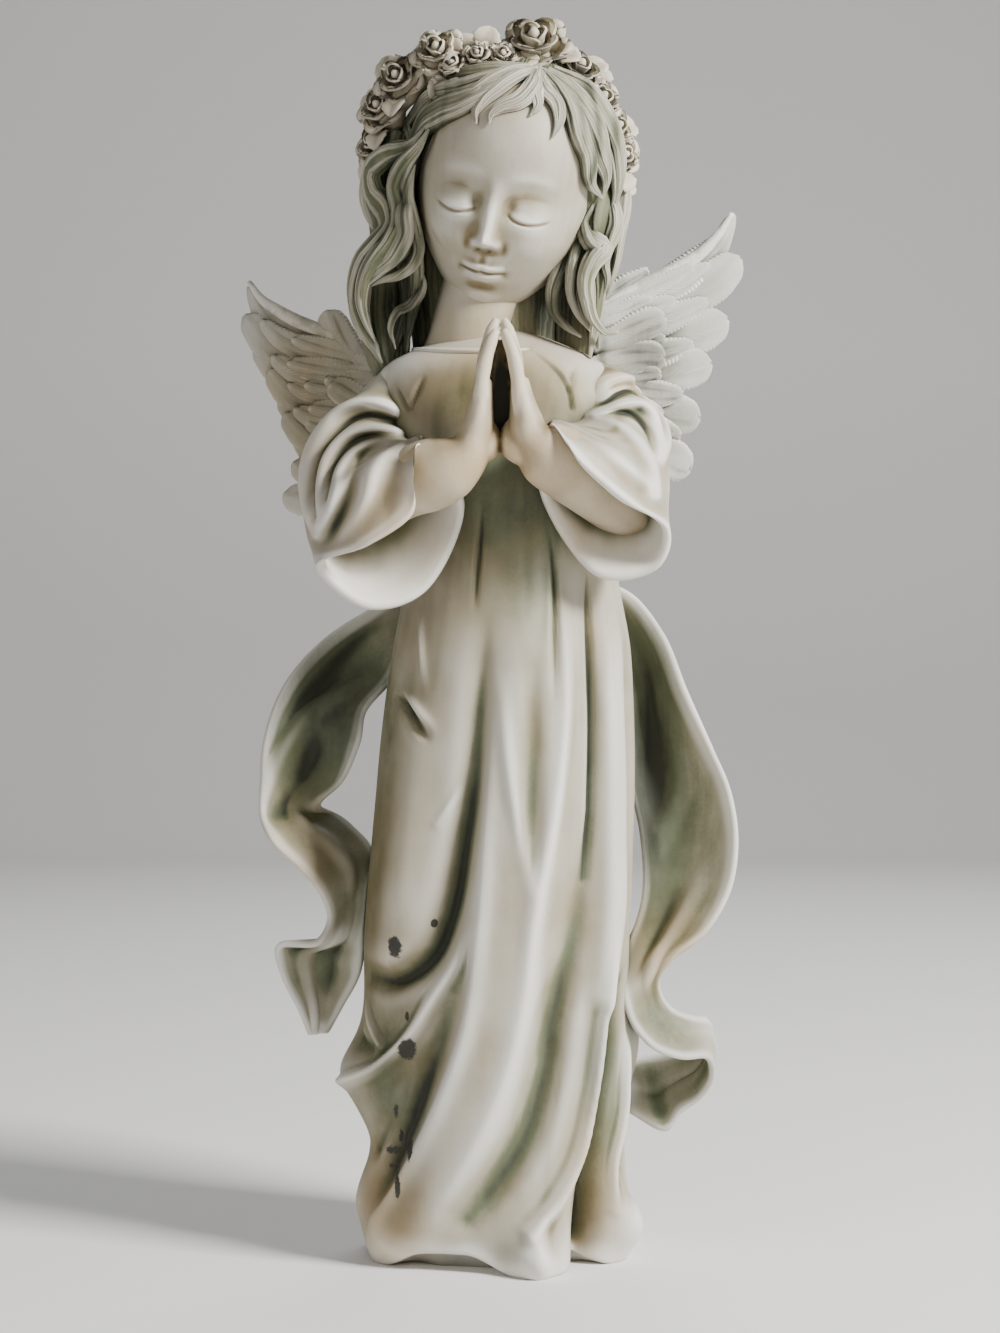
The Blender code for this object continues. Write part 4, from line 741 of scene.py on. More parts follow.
def buildHead():
    rows, around = head["rows"], head["around"]
    polar = denser(0.02, math.pi - 0.02, rows, 1.95, 0.5, 1.6)[:, None]
    angle = denser(-math.pi, math.pi, around + 1, 0.0, 0.7, 1.8)[None, :-1]
    halfX, halfY, halfZ = head["half"]
    x = halfX * np.sin(polar) * np.sin(angle)
    y = -np.sin(polar) * np.cos(angle)
    y = halfY * np.sign(y) * np.abs(y) ** np.where(y < 0, 0.84, 1.0)
    z = halfZ * np.cos(polar) + 0.0 * angle
    jaw = smoothStep((-z - 4.0) / 38.0)
    x = x * (1.0 - 0.20 * jaw)
    y = y * (1.0 - 0.10 * jaw) - 2.0 * jaw
    front = smoothStep((-y / halfY - 0.25) / 0.45)
    y = y - faceRelief(x, z) * front
    skull = loft(fromHead(np.stack((x, y, z), -1).reshape(-1, 3)).reshape(rows, around, 3))
    path = pathThrough(neckLine, 30)
    radius = curveValues((0, 0.3, 0.6, 1), (20.0, 14.6, 13.6, 15.0), np.linspace(0, 1, 30))
    return [skull, sweep(path, (0.0, 1.0, 0.0), radius, radius, 64)]


pieces.append(makePiece("headAndNeck", buildHead()))
print("head built")

# hair
hair = {
    "centre": (0.0, 7.5, 3.5),
    "half": (35.0, 36.5, 42.5),
    "strandRows": 40,
    "strandAround": 7,
    "hairLines": 3,
    "backLocks": 12,
    "backFrom": -18.0,  # bearing of the first back lock and the arc they cover, degrees
    "backArc": 216.0,
    "backTop": 384.0,
    "backLength": 78.0,
    "backWave": 6.0,  # degrees
    "capRows": 60,
    "capAround": 170,
    "capRidges": 26,
    "seed": 7,
}
fringe = (  # front-view points (x, z), half width, half thickness
    (((8.8, 391), (0, 391), (-9.8, 390.5), (-19.5, 391), (-26.7, 389), (-31.9, 384.6),
      (-34.5, 378.7), (-33.2, 372.2), (-35.2, 367.7)), 3.6, 3.2),
    (((7.5, 389.8), (-1.6, 387.9), (-11.4, 385.9), (-20.2, 385.9), (-26.7, 382.7),
      (-30.6, 377.4), (-29.9, 372.2), (-32.5, 367)), 3.6, 3.2),
    (((5.9, 388.5), (-2, 384.6), (-11.1, 381.4), (-18.9, 380.7), (-25.4, 377.4), (-28, 372.9),
      (-29.9, 367.7), (-33.9, 364.4)), 3.6, 3.0),
    (((6, 387), (-3.6, 381.4), (-11.7, 377.4), (-18.9, 375.5), (-24.7, 373.0), (-28, 368.4),
      (-31.9, 364.4), (-36.5, 361.8)), 2.8, 2.6),
    (((10, 391.5), (4.4, 389.4), (-2.4, 385.4), (-7.6, 381.4), (-12.6, 378.6),
      (-17, 376)), 3.2, 2.6),
    (((13, 391), (12.4, 386), (11.4, 381), (12.0, 376.6), (9.6, 373.2)), 2.6, 2.4),
    (((12, 390.5), (4.6, 387), (-1.3, 382.6), (-5.8, 378.4), (-7.8, 375), (-7.6, 371)), 2.7, 2.6),
    (((12, 389.8), (10.2, 383.6), (5.6, 378), (0, 376), (-3, 373.6), (-3.4, 370.6)), 3.0, 2.6),
    (((12.6, 390), (14.6, 382.7), (18.2, 378), (18.8, 373), (16.9, 366.5)), 2.6, 2.4),
    (((13.8, 390), (19.5, 382.7), (23.4, 376), (25.6, 369), (28.6, 361.8), (29.3, 355),
      (33.5, 351)),
     4.2, 3.2),
    (((15, 390), (24.1, 382), (29.8, 373.5), (32.5, 365), (34.8, 357), (33.4, 350)), 4.2, 3.4),
    (((17, 391), (28, 385), (35.0, 375), (38.5, 364), (38.5, 354), (36.0, 346)), 4.0, 3.6),
)
sideLocks = (  # points (x, y, z), half width, half thickness
    (((-24.7, -28, 373), (-29, -24, 368.5), (-37, -18, 366.5), (-41.8, -13, 361.9),
      (-41, -12, 355), (-37, -14, 349), (-36, -16, 342.8), (-40.2, -17, 337.5),
      (-45.2, -17, 332.2), (-47.8, -16, 325.7), (-48.4, -14, 318.4), (-46.4, -12, 311.2),
      (-42.4, -9, 304.6), (-39.5, -7, 299)), 4.4, 4.0),
    (((-23.1, -30, 372.4), (-26.4, -28, 367.2), (-31.6, -25, 361.9), (-34.3, -22, 355.3),
      (-33, -21, 348.7), (-33.6, -21, 342.1), (-36.9, -22, 336.2), (-41.5, -22, 330.9),
      (-45.0, -20, 324.3), (-46.0, -18, 317.8), (-44.4, -15, 311.2),
      (-40.9, -11, 304.6)), 3.8, 3.6),
    (((-27.7, -27, 361.2), (-29.3, -26, 356), (-30, -25, 350.7), (-29, -24, 345.4),
      (-27.7, -23, 339.5), (-27, -22, 333.6), (-29, -22.5, 328.9), (-33.6, -23, 325.7),
      (-38.9, -22, 324.3), (-43.5, -19, 322.5)), 2.6, 2.6),
    (((-28.7, -23, 356), (-31.6, -23, 346.1), (-31.6, -22, 338.8), (-34.9, -22, 332.9),
      (-39.5, -21, 329), (-44.2, -19, 324.7), (-46.8, -16, 318)), 4.4, 3.4),
    (((-26.4, -14, 330), (-26.0, -15, 323), (-29.3, -16, 317.6), (-33.9, -16, 315.1),
      (-36.4, -15, 310.2), (-34.8, -12, 303)), 1.9, 1.9),
    (((-42.2, -13, 332), (-46.1, -12, 324.3), (-47.4, -10, 317.8), (-45.8, -8, 310.5),
      (-42.0, -5, 303.9), (-38.9, -3, 297.5)), 3.8, 3.6),
    (((-37, -6, 370), (-42, -4, 363), (-43.6, -3, 356), (-42.6, -4, 348),
      (-40, -6, 341)), 4.6, 4.6),
    (((-30, -6, 352), (-32, -5, 338), (-29.5, -5, 324), (-33, -5, 310), (-38, -3, 298)), 4.6, 4.6),
    (((32.3, -20, 354), (29.7, -21, 348.7), (27, -20, 343.5), (29, -20, 338.2),
      (33.6, -19, 335.3), (30.3, -20, 331), (28, -20, 325), (28.7, -19, 317.8),
      (31.0, -17, 312.0), (35.0, -14.5, 308.5), (39.5, -12, 308.5)), 3.6, 3.2),
    (((35.5, -14, 357), (37.6, -14, 349.4), (37.9, -14, 343.5), (35.6, -14, 337.5),
      (34.6, -14, 331.6), (35.6, -13, 325.7), (34.6, -12, 321)), 3.0, 3.2),
    (((27, -17, 350), (25.6, -16, 343.5), (23.7, -15, 337.5), (21.7, -15, 331.6),
      (19.4, -14, 325.7), (17.9, -14, 320.4), (18.5, -13, 315.1), (22, -13, 310.5),
      (27.0, -12, 307)), 3.4, 3.4),
    (((29, -18, 349), (26.8, -17, 341), (25.7, -17, 334.2), (24.4, -17, 327.6), (24.0, -16, 321),
      (25.7, -16, 315.1), (30, -15, 308.5)), 3.6, 3.4),
    (((35, -6, 356), (34, -5, 344), (32, -5, 332), (31, -5, 318), (33, -4, 304)), 5.6, 5.6),
    (((39.5, -5, 366), (40.6, -4, 355), (38.6, -4, 344), (37.6, -4, 332),
      (34.6, -3, 320)), 4.4, 4.6),
)
hairMasses = (  # x, y, z, half width, half thickness
    ((-33, -6, 376, 8, 8), (-37, -4, 356, 8, 8), (-36, -3, 340, 8, 6), (-39, -2, 325, 9, 6),
     (-38, 0, 304, 8, 6), (-36, 4, 288, 3, 3)),
    ((34, -5, 368, 6, 9), (32, -3, 348, 7, 8), (26, -1, 330, 8, 7), (25, 1, 309, 8, 6),
     (24, 5, 288, 3, 3)),
)
napeLine = ((0, 8, 385), (-2, 8, 350), (-3, 7, 325), (-3, 6, 297))
hairDraw = np.random.default_rng(hair["seed"])


def onHair(points, lift):
    # lays front-view points on the hair or the brow, whichever stands further forward
    points = np.asarray(points, float)
    front = []
    for centre, half in ((hair["centre"], hair["half"]), ((0.0, 0.0, 0.0), head["half"])):
        half = np.array(half) + lift
        shape = headAxes @ np.diag(1.0 / half**2) @ headAxes.T
        centre = fromHead(centre)
        x, z = points[:, 0] - centre[0], points[:, 1] - centre[2]
        a = shape[1, 1]
        b = 2 * (shape[0, 1] * x + shape[1, 2] * z)
        c = shape[0, 0] * x**2 + shape[2, 2] * z**2 + 2 * shape[0, 2] * x * z - 1.0
        front.append(centre[1] - (b + np.sqrt(np.maximum(b * b - 4 * a * c, 0.0))) / (2 * a))
    return np.stack((points[:, 0], np.minimum(*front), points[:, 1]), 1)


def strandsAlong(path, facing, width, thickness, count, rootShare=0.55):
    # a lock: a grooved band with strands that wind slowly round it
    rows = len(path)
    t = np.linspace(0.0, 1.0, rows)
    normal, side = pathFrame(path, facing)
    taper = curveValues((0.0, 0.18, 0.7, 1.0), (rootShare, 1.0, 0.9, 0.12), t)
    winding = hairDraw.uniform(-1.8, 1.8)
    shells = [
        sweep(path, facing, 0.92 * width * taper, 0.70 * thickness * taper, 24, 6, 0.14, hairs=6)
    ]
    for k in range(count):
        phase = 2 * math.pi * k / count + winding * t + hairDraw.uniform(-0.4, 0.4)
        drift = 1.0 + 0.20 * np.sin(7.0 * t + hairDraw.uniform(0.0, 6.0))
        across = (0.66 * width * taper * drift * np.cos(phase))[:, None]
        out = (0.46 * thickness * taper * np.sin(phase))[:, None]
        girth = width * hairDraw.uniform(0.24, 0.44) * np.clip(taper, 0.12, 2.0)
        strand = path + side * across + normal * out
        shells.append(
            sweep(strand, facing, girth, girth * 0.9, hair["strandAround"], hairs=hair["hairLines"])
        )
    return shells


def sideLock(points, width, thickness):
    path = pathThrough(points, hair["strandRows"])
    axis = fromHead((0.0, 2.0, 0.0)) * (1, 1, 0)
    return strandsAlong(path, unitVectors(path * (1, 1, 0) - axis), width, thickness, 4, 0.12)


def fringeLock(points, width, thickness):
    path = pathThrough(onHair(points, 2.5), hair["strandRows"])
    return strandsAlong(path, path - fromHead(hair["centre"]), width, thickness, 4)


def backLock(index):
    share = index / (hair["backLocks"] - 1)
    bearing = math.radians(hair["backFrom"] + hair["backArc"] * share)
    t = np.linspace(0.0, 1.0, hair["strandRows"])
    behind = math.sin(bearing)
    z = hair["backTop"] - (hair["backLength"] + 6.0 * math.cos(index * 2.2)) * t
    wave = np.radians(hair["backWave"]) * np.sin(2 * math.pi * (1.6 * t + 0.37 * index))
    reach = curveValues((0.0, 0.25, 0.6, 1.0), (24.0, 34.5, 33.0, 31.0 - 4.0 * behind), t)
    centreX, centreY = 2.0 * (1.0 - t), -2.0 + 2.0 * t
    x = centreX + reach * np.cos(bearing + wave)
    y = centreY + reach * np.sin(bearing + wave) * 0.95
    path = np.stack((x, y, z), 1)
    facing = unitVectors(path * (1, 1, 0) - np.stack((centreX, centreY, 0 * t), 1))
    return strandsAlong(path, facing, 7.0, 4.6, 4)


def hairCap():
    rows, around = hair["capRows"], hair["capAround"]
    polar = np.linspace(0.06, math.pi * 0.78, rows)[:, None]
    angle = np.linspace(-math.pi, math.pi, around, endpoint=False)[None]
    ridges = 0.5 * np.cos(hair["capRidges"] * angle + 2.0 * np.sin(polar * 5.0))
    ridges = ridges * smoothStep(polar * 1.6)
    ridges = ridges * smoothStep(0.6 - np.cos(angle))
    x, y = np.sin(polar) * np.sin(angle), -np.sin(polar) * np.cos(angle)
    sphere = np.stack((x, y, np.cos(polar) + 0.0 * angle), -1)
    half = np.array(hair["half"]) + ridges[..., None]
    points = fromHead((sphere * half + np.array(hair["centre"])).reshape(-1, 3))
    return loft(points.reshape(rows, around, 3), 40.0 * np.abs(angle) / math.pi + 0.0 * polar)


def hairMass(points):
    line = pathThrough(points, 40)
    return sweep(line[:, :3], (0.0, 1.0, 0.0), line[:, 3], line[:, 4], 40, 9, 0.10, hairs=14)


def nape():
    path = pathThrough(napeLine, 40)
    t = np.linspace(0, 1, 40)
    width = curveValues((0, 0.5, 1), (30.0, 30.0, 26.0), t)
    depth = curveValues((0, 0.5, 1), (22.0, 21.0, 15.0), t)
    return sweep(path, (0.0, 1.0, 0.0), width, depth, 90, 22, 0.05, hairs=40)


hairShells = [hairCap(), nape()] + [hairMass(points) for points in hairMasses]
for lock in fringe:
    hairShells += fringeLock(*lock)
for lock in sideLocks:
    hairShells += sideLock(*lock)
for number in range(hair["backLocks"]):
    hairShells += backLock(number)
pieces.append(makePiece("hair", hairShells))
print("hair built")

# wreath of roses
wreath = {
    "petalWall": 0.75,
    "leafWall": 1.2,  # share of a petal's
    "leafLength": 9.0,
    "leafWidth": 4.2,
    "bandGirth": 5.2,
    "seed": 3,
}
roses = (  # centre and radius
    ((11.5, -21.0, 401.0), 9.8),
    ((0.5, -27.0, 395.5), 5.4),
    ((-7.0, -27.5, 396.0), 4.8),
    ((-20.0, -20.0, 399.0), 7.4),
    ((-14.5, -25.5, 392.6), 5.4),
    ((-32.5, -14.0, 392.0), 7.6),
    ((-39.0, -9.0, 383.0), 7.2),
    ((-40.5, -1.0, 373.0), 7.4),
    ((24.5, -19.0, 393.0), 7.8),
    ((32.5, -13.0, 385.5), 6.8),
    ((36.8, -10.0, 377.0), 6.8),
    ((40.0, -7.0, 368.5), 6.2),
    ((38.0, -6.0, 360.5), 4.8),
    ((-36.0, 13.0, 376.0), 7.0),
    ((-26.0, 24.0, 377.0), 7.4),
    ((-10.0, 30.0, 378.0), 7.8),
    ((8.0, 31.0, 376.0), 7.6),
    ((24.0, 24.0, 373.0), 7.4),
    ((36.0, 11.0, 368.0), 7.0),
)
petalRings = (  # petals, reach, height of the rim, curl outwards, half width in radians
    (3, 0.36, 0.90, 0.06, 1.30),
    (4, 0.68, 0.72, 0.20, 1.05),
    (5, 1.02, 0.34, 0.30, 0.84),
)
wreathDraw = np.random.default_rng(wreath["seed"])


def roseAxes(centre):
    out = unitVectors(np.array(centre) - fromHead((0.0, 0.0, 2.0)))
    # those in front turn their faces forward
    out = unitVectors(out + (0.0, -1.1 if centre[1] < 0 else 0.0, 0.0))
    out = unitVectors(out + wreathDraw.uniform(-0.22, 0.22, 3))
    across = unitVectors(np.cross(out, (0.0, 0.0, 1.0)))
    return out, across, np.cross(out, across)


def placed(centre, axes, amounts):
    grid = np.asarray(centre)
    for axis, amount in zip(axes, amounts):
        grid = grid + amount[..., None] * axis
    return grid


def petal(centre, axes, radius, turn, ring):
    out, across, up = axes
    _, reach, rimHeight, curl, span = ring
    u = np.linspace(0.0, 1.0, 8)[:, None]
    v = np.linspace(-1.0, 1.0, 10)[None]
    rise = u * (1.0 - 0.30 * v**2)
    bearing = turn + v * span * (0.45 + 0.55 * np.sin(np.clip(u, 0.1, 0.6) * math.pi / 1.2))
    lip = np.maximum(rise - 0.70, 0.0) / 0.30
    spread = radius * (reach * (0.30 + 0.70 * np.sin(rise * math.pi / 2)) + curl * lip**2)
    spread = spread * (1.0 + 0.05 * np.sin(3.0 * v + turn * 5.0) * rise)
    height = radius * (-0.50 + (rimHeight + 0.50) * rise**0.9 - 0.12 * lip**2)
    amounts = (spread * np.cos(bearing), spread * np.sin(bearing), height)
    return sheet(placed(centre, (across, up, out), amounts), wreath["petalWall"])


def rose(centre, radius):
    axes = roseAxes(centre)
    t = np.linspace(-0.7, 0.80, 8)[:, None]
    girth = radius * np.array((0.55, 0.62, 0.55, 0.42, 0.32, 0.26, 0.22, 0.10))
    shells = [sweep(np.asarray(centre) + axes[0] * radius * t, axes[1], girth, girth, 12)]
    for number, ring in enumerate(petalRings):
        for k in range(ring[0]):
            turn = 2 * math.pi * (k / ring[0] + 0.31 * number) + centre[0]
            turn += wreathDraw.uniform(-0.12, 0.12)
            shells.append(petal(centre, axes, radius, turn, ring))
    return shells


def leaf(centre, radius, turn):
    out, across, up = roseAxes(centre)
    length, width = wreath["leafLength"], wreath["leafWidth"]
    u = np.linspace(0.0, 1.0, 10)[:, None]
    v = np.linspace(-1.0, 1.0, 5)[None]
    wide = width * np.sin(math.pi * u**0.8) ** 0.8 * (1.0 + 0.10 * np.cos(u * 30.0))
    along = radius * 0.75 + length * u
    heading = math.cos(turn) * across + math.sin(turn) * up
    sideways = np.cross(heading, out)
    rise = -0.25 * radius + 1.6 * np.sin(u * 2.4) + 1.0 * np.abs(v) * np.sin(math.pi * u)
    grid = placed(centre, (heading, sideways, out), (along, wide * v, rise))
    return sheet(grid, wreath["petalWall"] * wreath["leafWall"])


def wreathBand():
    line = sorted((centre for centre, _ in roses), key=lambda spot: math.atan2(spot[1], spot[0]))
    line = np.array(line, float)
    inner = fromHead((0.0, 0.0, 8.0))
    line = loopThrough(line + unitVectors(inner - line) * 4.0, 120)
    line = np.concatenate((line, line[:2]))
    girth = wreath["bandGirth"] + 0.8 * np.cos(np.arange(len(line)) * 1.1)
    return sweep(line, line - inner, girth, girth * 0.8, 16, 3, 0.2)


wreathShells = [wreathBand()]
for centre, radius in roses:
    wreathShells += rose(centre, radius)
for centre, radius in roses:
    for turn in wreathDraw.uniform(0.0, 6.3) + np.array((0.0, 2.2, 4.1)):
        shell = leaf(centre, radius, turn)
        if shell[0][:, 2].max() < drawnHeight - 0.3:
            wreathShells.append(shell)
pieces.append(makePiece("roseWreath", wreathShells))
print("wreath built")

# wings
wings = {
    "rootX": 28.0,
    "rootY": 17.0,
    "sweepBack": 0.28,
    "wall": 2.6,
    "rows": 36,
    "columns": 9,
    "barbPitch": 1.5,  # drawn millimetres between the fine barbs
    "overlap": 0.8,  # how far each feather tips over its lower neighbour
    "edgeRoll": 2.3,  # half thickness of the leading edge
    "seed": 5,
}
rounded = (0.55, 0.85, 1.0, 0.86, 0.50, 0.08)
leafy = (0.60, 0.90, 1.0, 0.66, 0.36, 0.08)
pointed = (0.60, 0.90, 0.95, 0.50, 0.26, 0.08)
rightWing = (  # front-view points from root to tip, half width, layer, outline
    (((-38, 301), (-58, 306), (-72, 311.5), (-82, 319), (-88.5, 331.5)), 5.0, 1.2, pointed),
    (((-38, 297), (-60, 301), (-76, 306.5), (-90, 321)), 5.4, 0.0, rounded),
    (((-36, 291), (-58, 294), (-73, 299), (-86, 311)), 5.4, 1.2, rounded),
    (((-35, 285), (-56, 287), (-70, 291), (-81, 301.5)), 5.2, 0.0, rounded),
    (((-33, 280), (-54, 280.5), (-67, 283.5), (-77, 292.5)), 5.0, 1.2, rounded),
    (((-32, 275), (-54, 274), (-66, 277), (-75.5, 286)), 4.8, 0.0, rounded),
    (((-31, 270), (-52, 268), (-62, 270), (-71, 278.5)), 4.6, 1.2, rounded),
    (((-34, 268), (-54, 264), (-64, 264), (-72.5, 268.5)), 4.8, 0.0, rounded),
    (((-34, 262), (-56, 257), (-68, 255.5), (-76, 257.5)), 5.2, 1.2, rounded),
    (((-44, 296), (-50, 303), (-55.5, 311), (-60.5, 321)), 4.6, -2.2, rounded),
    (((-36, 284), (-46, 288), (-54, 292.5), (-59, 295)), 4.2, -5.0, rounded),
)
leftWing = (
    (((32, 316), (50, 325.5), (68, 337), (77, 345.5), (82.3, 356.5)), 4.8, 1.2, pointed),
    (((30, 309), (54, 321), (73, 331), (84.5, 341)), 6.4, 0.0, rounded),
    (((30, 302), (52, 309), (68, 314), (80, 319.5)), 6.6, 1.2, rounded),
    (((30, 296), (50, 298.5), (62, 301), (74, 303.5)), 6.4, 0.0, rounded),
    (((34, 288), (52, 286.5), (62, 285.5), (70, 284.5)), 6.0, 1.2, rounded),
    (((38, 280), (52, 273.5), (60, 269.5), (66.5, 266)), 6.2, 0.0, rounded),
    (((30, 319), (40, 326), (46, 331), (51.5, 335.8)), 3.4, 2.0, pointed),
    (((32, 306), (42, 311), (50, 315.5), (57, 318.5)), 4.6, -5.0, rounded),
    (((32, 300), (42, 303), (50, 304.5), (57, 304.5)), 4.8, -4.4, rounded),
)
wingRoot = ((14.0, 12.0, 282.0), (28.0, 17.0, 288.0), (42.0, 21.0, 297.0))
leadingEdges = (  # from the shoulder of the wing to its tip, in the front view
    ((-46, 306), (-56, 311.5), (-64.7, 315.4), (-71.5, 318.4), (-78, 322.2), (-83.6, 326.2),
     (-88.4, 332.8)),
    ((34, 321), (46, 328), (57, 333.6), (68, 340), (76, 348), (81.6, 356.4)),
)
coverts = (  # share of the length, half width, how far towards the face, shift to the next one
    (0.80, 3.9, 1.3, 0.5),
    (0.60, 3.9, 2.2, 0.0),
    (0.40, 3.8, 3.0, 0.5),
)
wingDraw = np.random.default_rng(wings["seed"])


def feather(points, halfWidth, layer, outline, face):
    rows, columns = wings["rows"], wings["columns"]
    t = np.linspace(0.0, 1.0, rows)
    line = pathThrough(np.asarray(points, float), rows)
    run = unitVectors(np.gradient(line, axis=0))
    across = np.stack((-run[:, 1], run[:, 0]), 1)
    length = np.linalg.norm(np.diff(line, axis=0), axis=1).sum()
    outline = curveValues((0.0, 0.3, 0.7, 0.88, 0.97, 1.0), outline, t)
    s = np.linspace(-1.0, 1.0, columns)
    flat = line[:, None] + (s[None, :] * halfWidth * outline[:, None])[..., None] * across[:, None]
    shaft = 0.7 * bellCurve(s, 0.12) - 0.9 * s**2
    barbs = (t[:, None] * length - 4.2 * halfWidth * np.abs(s[None])) / wings["barbPitch"]
    relief = shaft[None] * 1.3 * outline[:, None] + 0.5 * np.sin(t[:, None] * 7.0 + s * 2)
    relief = relief + wings["overlap"] * s[None] * math.copysign(1.0, run[0, 0])
    root = wings["rootX"] * np.sign(run[0, 0])
    y = wings["rootY"] + wings["sweepBack"] * np.abs(flat[..., 0] - root)
    grid = np.stack((flat[..., 0], y + layer + face * relief, flat[..., 1]), -1)
    return sheet(grid, wings["wall"] * (0.5 + 0.5 * outline[:, None]), barbs)


def buildWing(feathers, flightCount, leadingEdge):
    shells = []
    side = math.copysign(1.0, feathers[0][0][0][0])
    for points, halfWidth, layer, outline in feathers:
        shells.append(feather(points, halfWidth, layer, outline, -1))
    flight = [pathThrough(np.asarray(f[0], float), 25) for f in feathers[:flightCount]]
    for reach, halfWidth, out, shift in coverts:
        for number in range(flightCount - (1 if shift else 0)):
            after = flight[min(number + 1, flightCount - 1)]
            share = reach + wingDraw.uniform(-0.06, 0.06)
            drift = wingDraw.uniform(-2.2, 2.2)
            points = ((1 - shift) * flight[number] + shift * after)[: int(round(25 * share))]
            points = points + np.linspace(0.0, 1.0, len(points))[:, None] * (0.0, drift)
            for face in (-1, 1) if reach > 0.7 else (-1,):
                rise = face * (out + 0.5 * (number % 2))
                shells.append(feather(points, halfWidth, rise, leafy, face))
    root = pathThrough(np.array((side, 1.0, 1.0)) * wingRoot, 24)
    shells.append(
        sweep(root, (0.0, 1.0, 0.0), np.linspace(15, 9, 24), np.linspace(6.5, 3.6, 24), 30)
    )
    edge = pathThrough(leadingEdge, 40)
    depth = wings["rootY"] + wings["sweepBack"] * (np.abs(edge[:, 0]) - wings["rootX"]) - 1.0
    edge = np.stack((edge[:, 0], depth, edge[:, 1]), 1)
    taper = curveValues((0.0, 0.3, 0.8, 1.0), (0.6, 1.0, 0.8, 0.35), np.linspace(0, 1, 40))
    girth = wings["edgeRoll"] * taper
    shells.append(sweep(edge, (0.0, 1.0, 0.0), girth, girth * 0.9, 16))
    return shells


wingShells = buildWing(rightWing, 9, leadingEdges[0])  # nine flight feathers, then six
wingShells += buildWing(leftWing, 6, leadingEdges[1])
pieces.append(makePiece("wings", wingShells))
print("wings built")

# ribbons and the sash behind the waist
ribbons = {
    "rows": 220,
    "columns": 44,
    "wall": 2.9,
    "front": (1.0, -1.0),  # which way the folds of each ribbon rise
}
rightRibbon = (  # outer edge, inner edge, how far the middle bellies back
    ((-24, 27, 226), (-20, 25, 207), 0),
    ((-44, 23, 217), (-33, 17, 201), 3),
    ((-61, 18, 206), (-38, 10, 192), 5),
    ((-74, 10, 190), (-46, 2, 182), 6),
    ((-79.5, 4, 172.5), (-48, -3, 171), 6),
    ((-80.5, 0, 157), (-54, 0, 158), 5),
    ((-80, -4, 146), (-62, 5, 150), 3),
    ((-76, -10, 139), (-58, 12, 147), 0),
    ((-67, -9, 130), (-51, 12, 142), -1),
    ((-60, -4, 121), (-44, 9, 133), 0),
    ((-57.5, -4, 112), (-45, 4, 122), 2),
    ((-61, -7, 105), (-46, 1, 110), 2),
    ((-74.5, -4, 103), (-47, 1, 99), 3),
    ((-73, 0, 92), (-49, 2, 91), 3),
    ((-68, 0, 82), (-54, 2, 82), 2),
    ((-64, 1, 72.5), (-59, 2, 73), 0),
)
leftRibbon = (
    ((26, 27, 228), (22, 25, 211), 0),
    ((45, 21, 222), (34, 24, 206), 2),
    ((56, 16, 209), (42, 20, 189), 4),
    ((64.5, 10, 188), (45, 18, 170), 6),
    ((72.5, 4, 168), (46, 14, 154), 8),
    ((77.5, 0, 154.5), (48.5, 10, 141), 8),
    ((79.5, -4, 137.5), (49.5, 6, 123), 6),
    ((76.5, -7, 121.5), (47, 3, 111), 4),
    ((69, -9, 109), (43, -1, 102), 2),
    ((57.5, -9, 99), (41.5, -7, 92.5), 1),
    ((53, -6, 92), (41.5, -11, 86), 1),
    ((54, -3, 86), (44.5, -13, 78), 2),
    ((58.5, -1, 80.5), (51.5, -14, 70.5), 3),
    ((65, 1, 78), (61, -12, 67), 3),
    ((70.5, 5, 76.5), (69.5, -6, 66), 3),
    ((71.5, 10, 72), (72, 1, 59), 3),
    ((67, 14, 66), (69, 7, 51), 2),
    ((58.5, 16, 63), (62, 10, 45), 2),
    ((50, 16, 62), (56, 12, 38.5), 2),
    ((42, 14, 61), (44, 12, 45), 0),
)
rightRibbonFolds = (  # points (across of 30, along of 100, height), widths, power
    (((2, 6, 0.0), (1.5, 18, 1.8), (1.5, 32, 1.6), (2, 42, 0.0)), 3.5, 2.4, 2),
    (((8, 8, 0.0), (10, 20, -2.2), (12, 30, -1.6), (11, 36, 0.0)), 4.5, 4.5, 2),
    (((25, 18, 0.0), (21, 27, 1.6), (13, 34, 2.6), (7, 40, 2.6), (2, 46, 1.0)), 2.6, 2.2, 2),
    (((19, 38, 0.0), (16, 43, -2.8), (12, 49, -1.6)), 4.0, 4.0, 2),
    (((16, 50, 0.0), (15, 58, 1.6), (16, 66, 1.6), (15, 74, 0.0)), 3.0, 3.0, 2),
    (((14, 76, 0.0), (10, 86, 1.5), (9, 97, 1.0)), 2.4, 2.4, 2),
    (((22, 74, 0.0), (20, 86, -1.4), (18, 96, 0.0)), 3.0, 3.0, 2),
)
leftRibbonFolds = (
    (((3, 4, 0.0), (2.5, 14, 2.0), (2.5, 28, 1.8), (3, 38, 0.0)), 4.0, 3.0, 2),
    (((13, 6, 0.0), (15, 16, -2.6), (19, 28, -3.0), (23, 36, -1.0)), 5.0, 5.0, 2),
    (((10, 22, 0.0), (9, 30, 2.2), (11, 36, 2.6), (16, 39.5, 2.6), (25, 43, 1.6)), 2.6, 2.6, 2),
    (((8, 48, 0.0), (12, 56, 1.4), (12, 66, 1.4), (10, 74, 0.0)), 3.0, 3.0, 2),
    (((20, 50, 0.0), (20, 60, -1.4), (20, 70, 0.0)), 3.5, 3.5, 2),
    (((10, 80, 0.0), (14, 88, 1.4), (16, 96, 0.6)), 2.6, 2.6, 2),
)
knotLine = ((0, 30, 226), (0, 35, 218), (0, 30, 209))
sashLine = ((-31, 18, 216), (-18, 28, 217), (0, 32, 218), (18, 29, 219), (36, 20, 219))


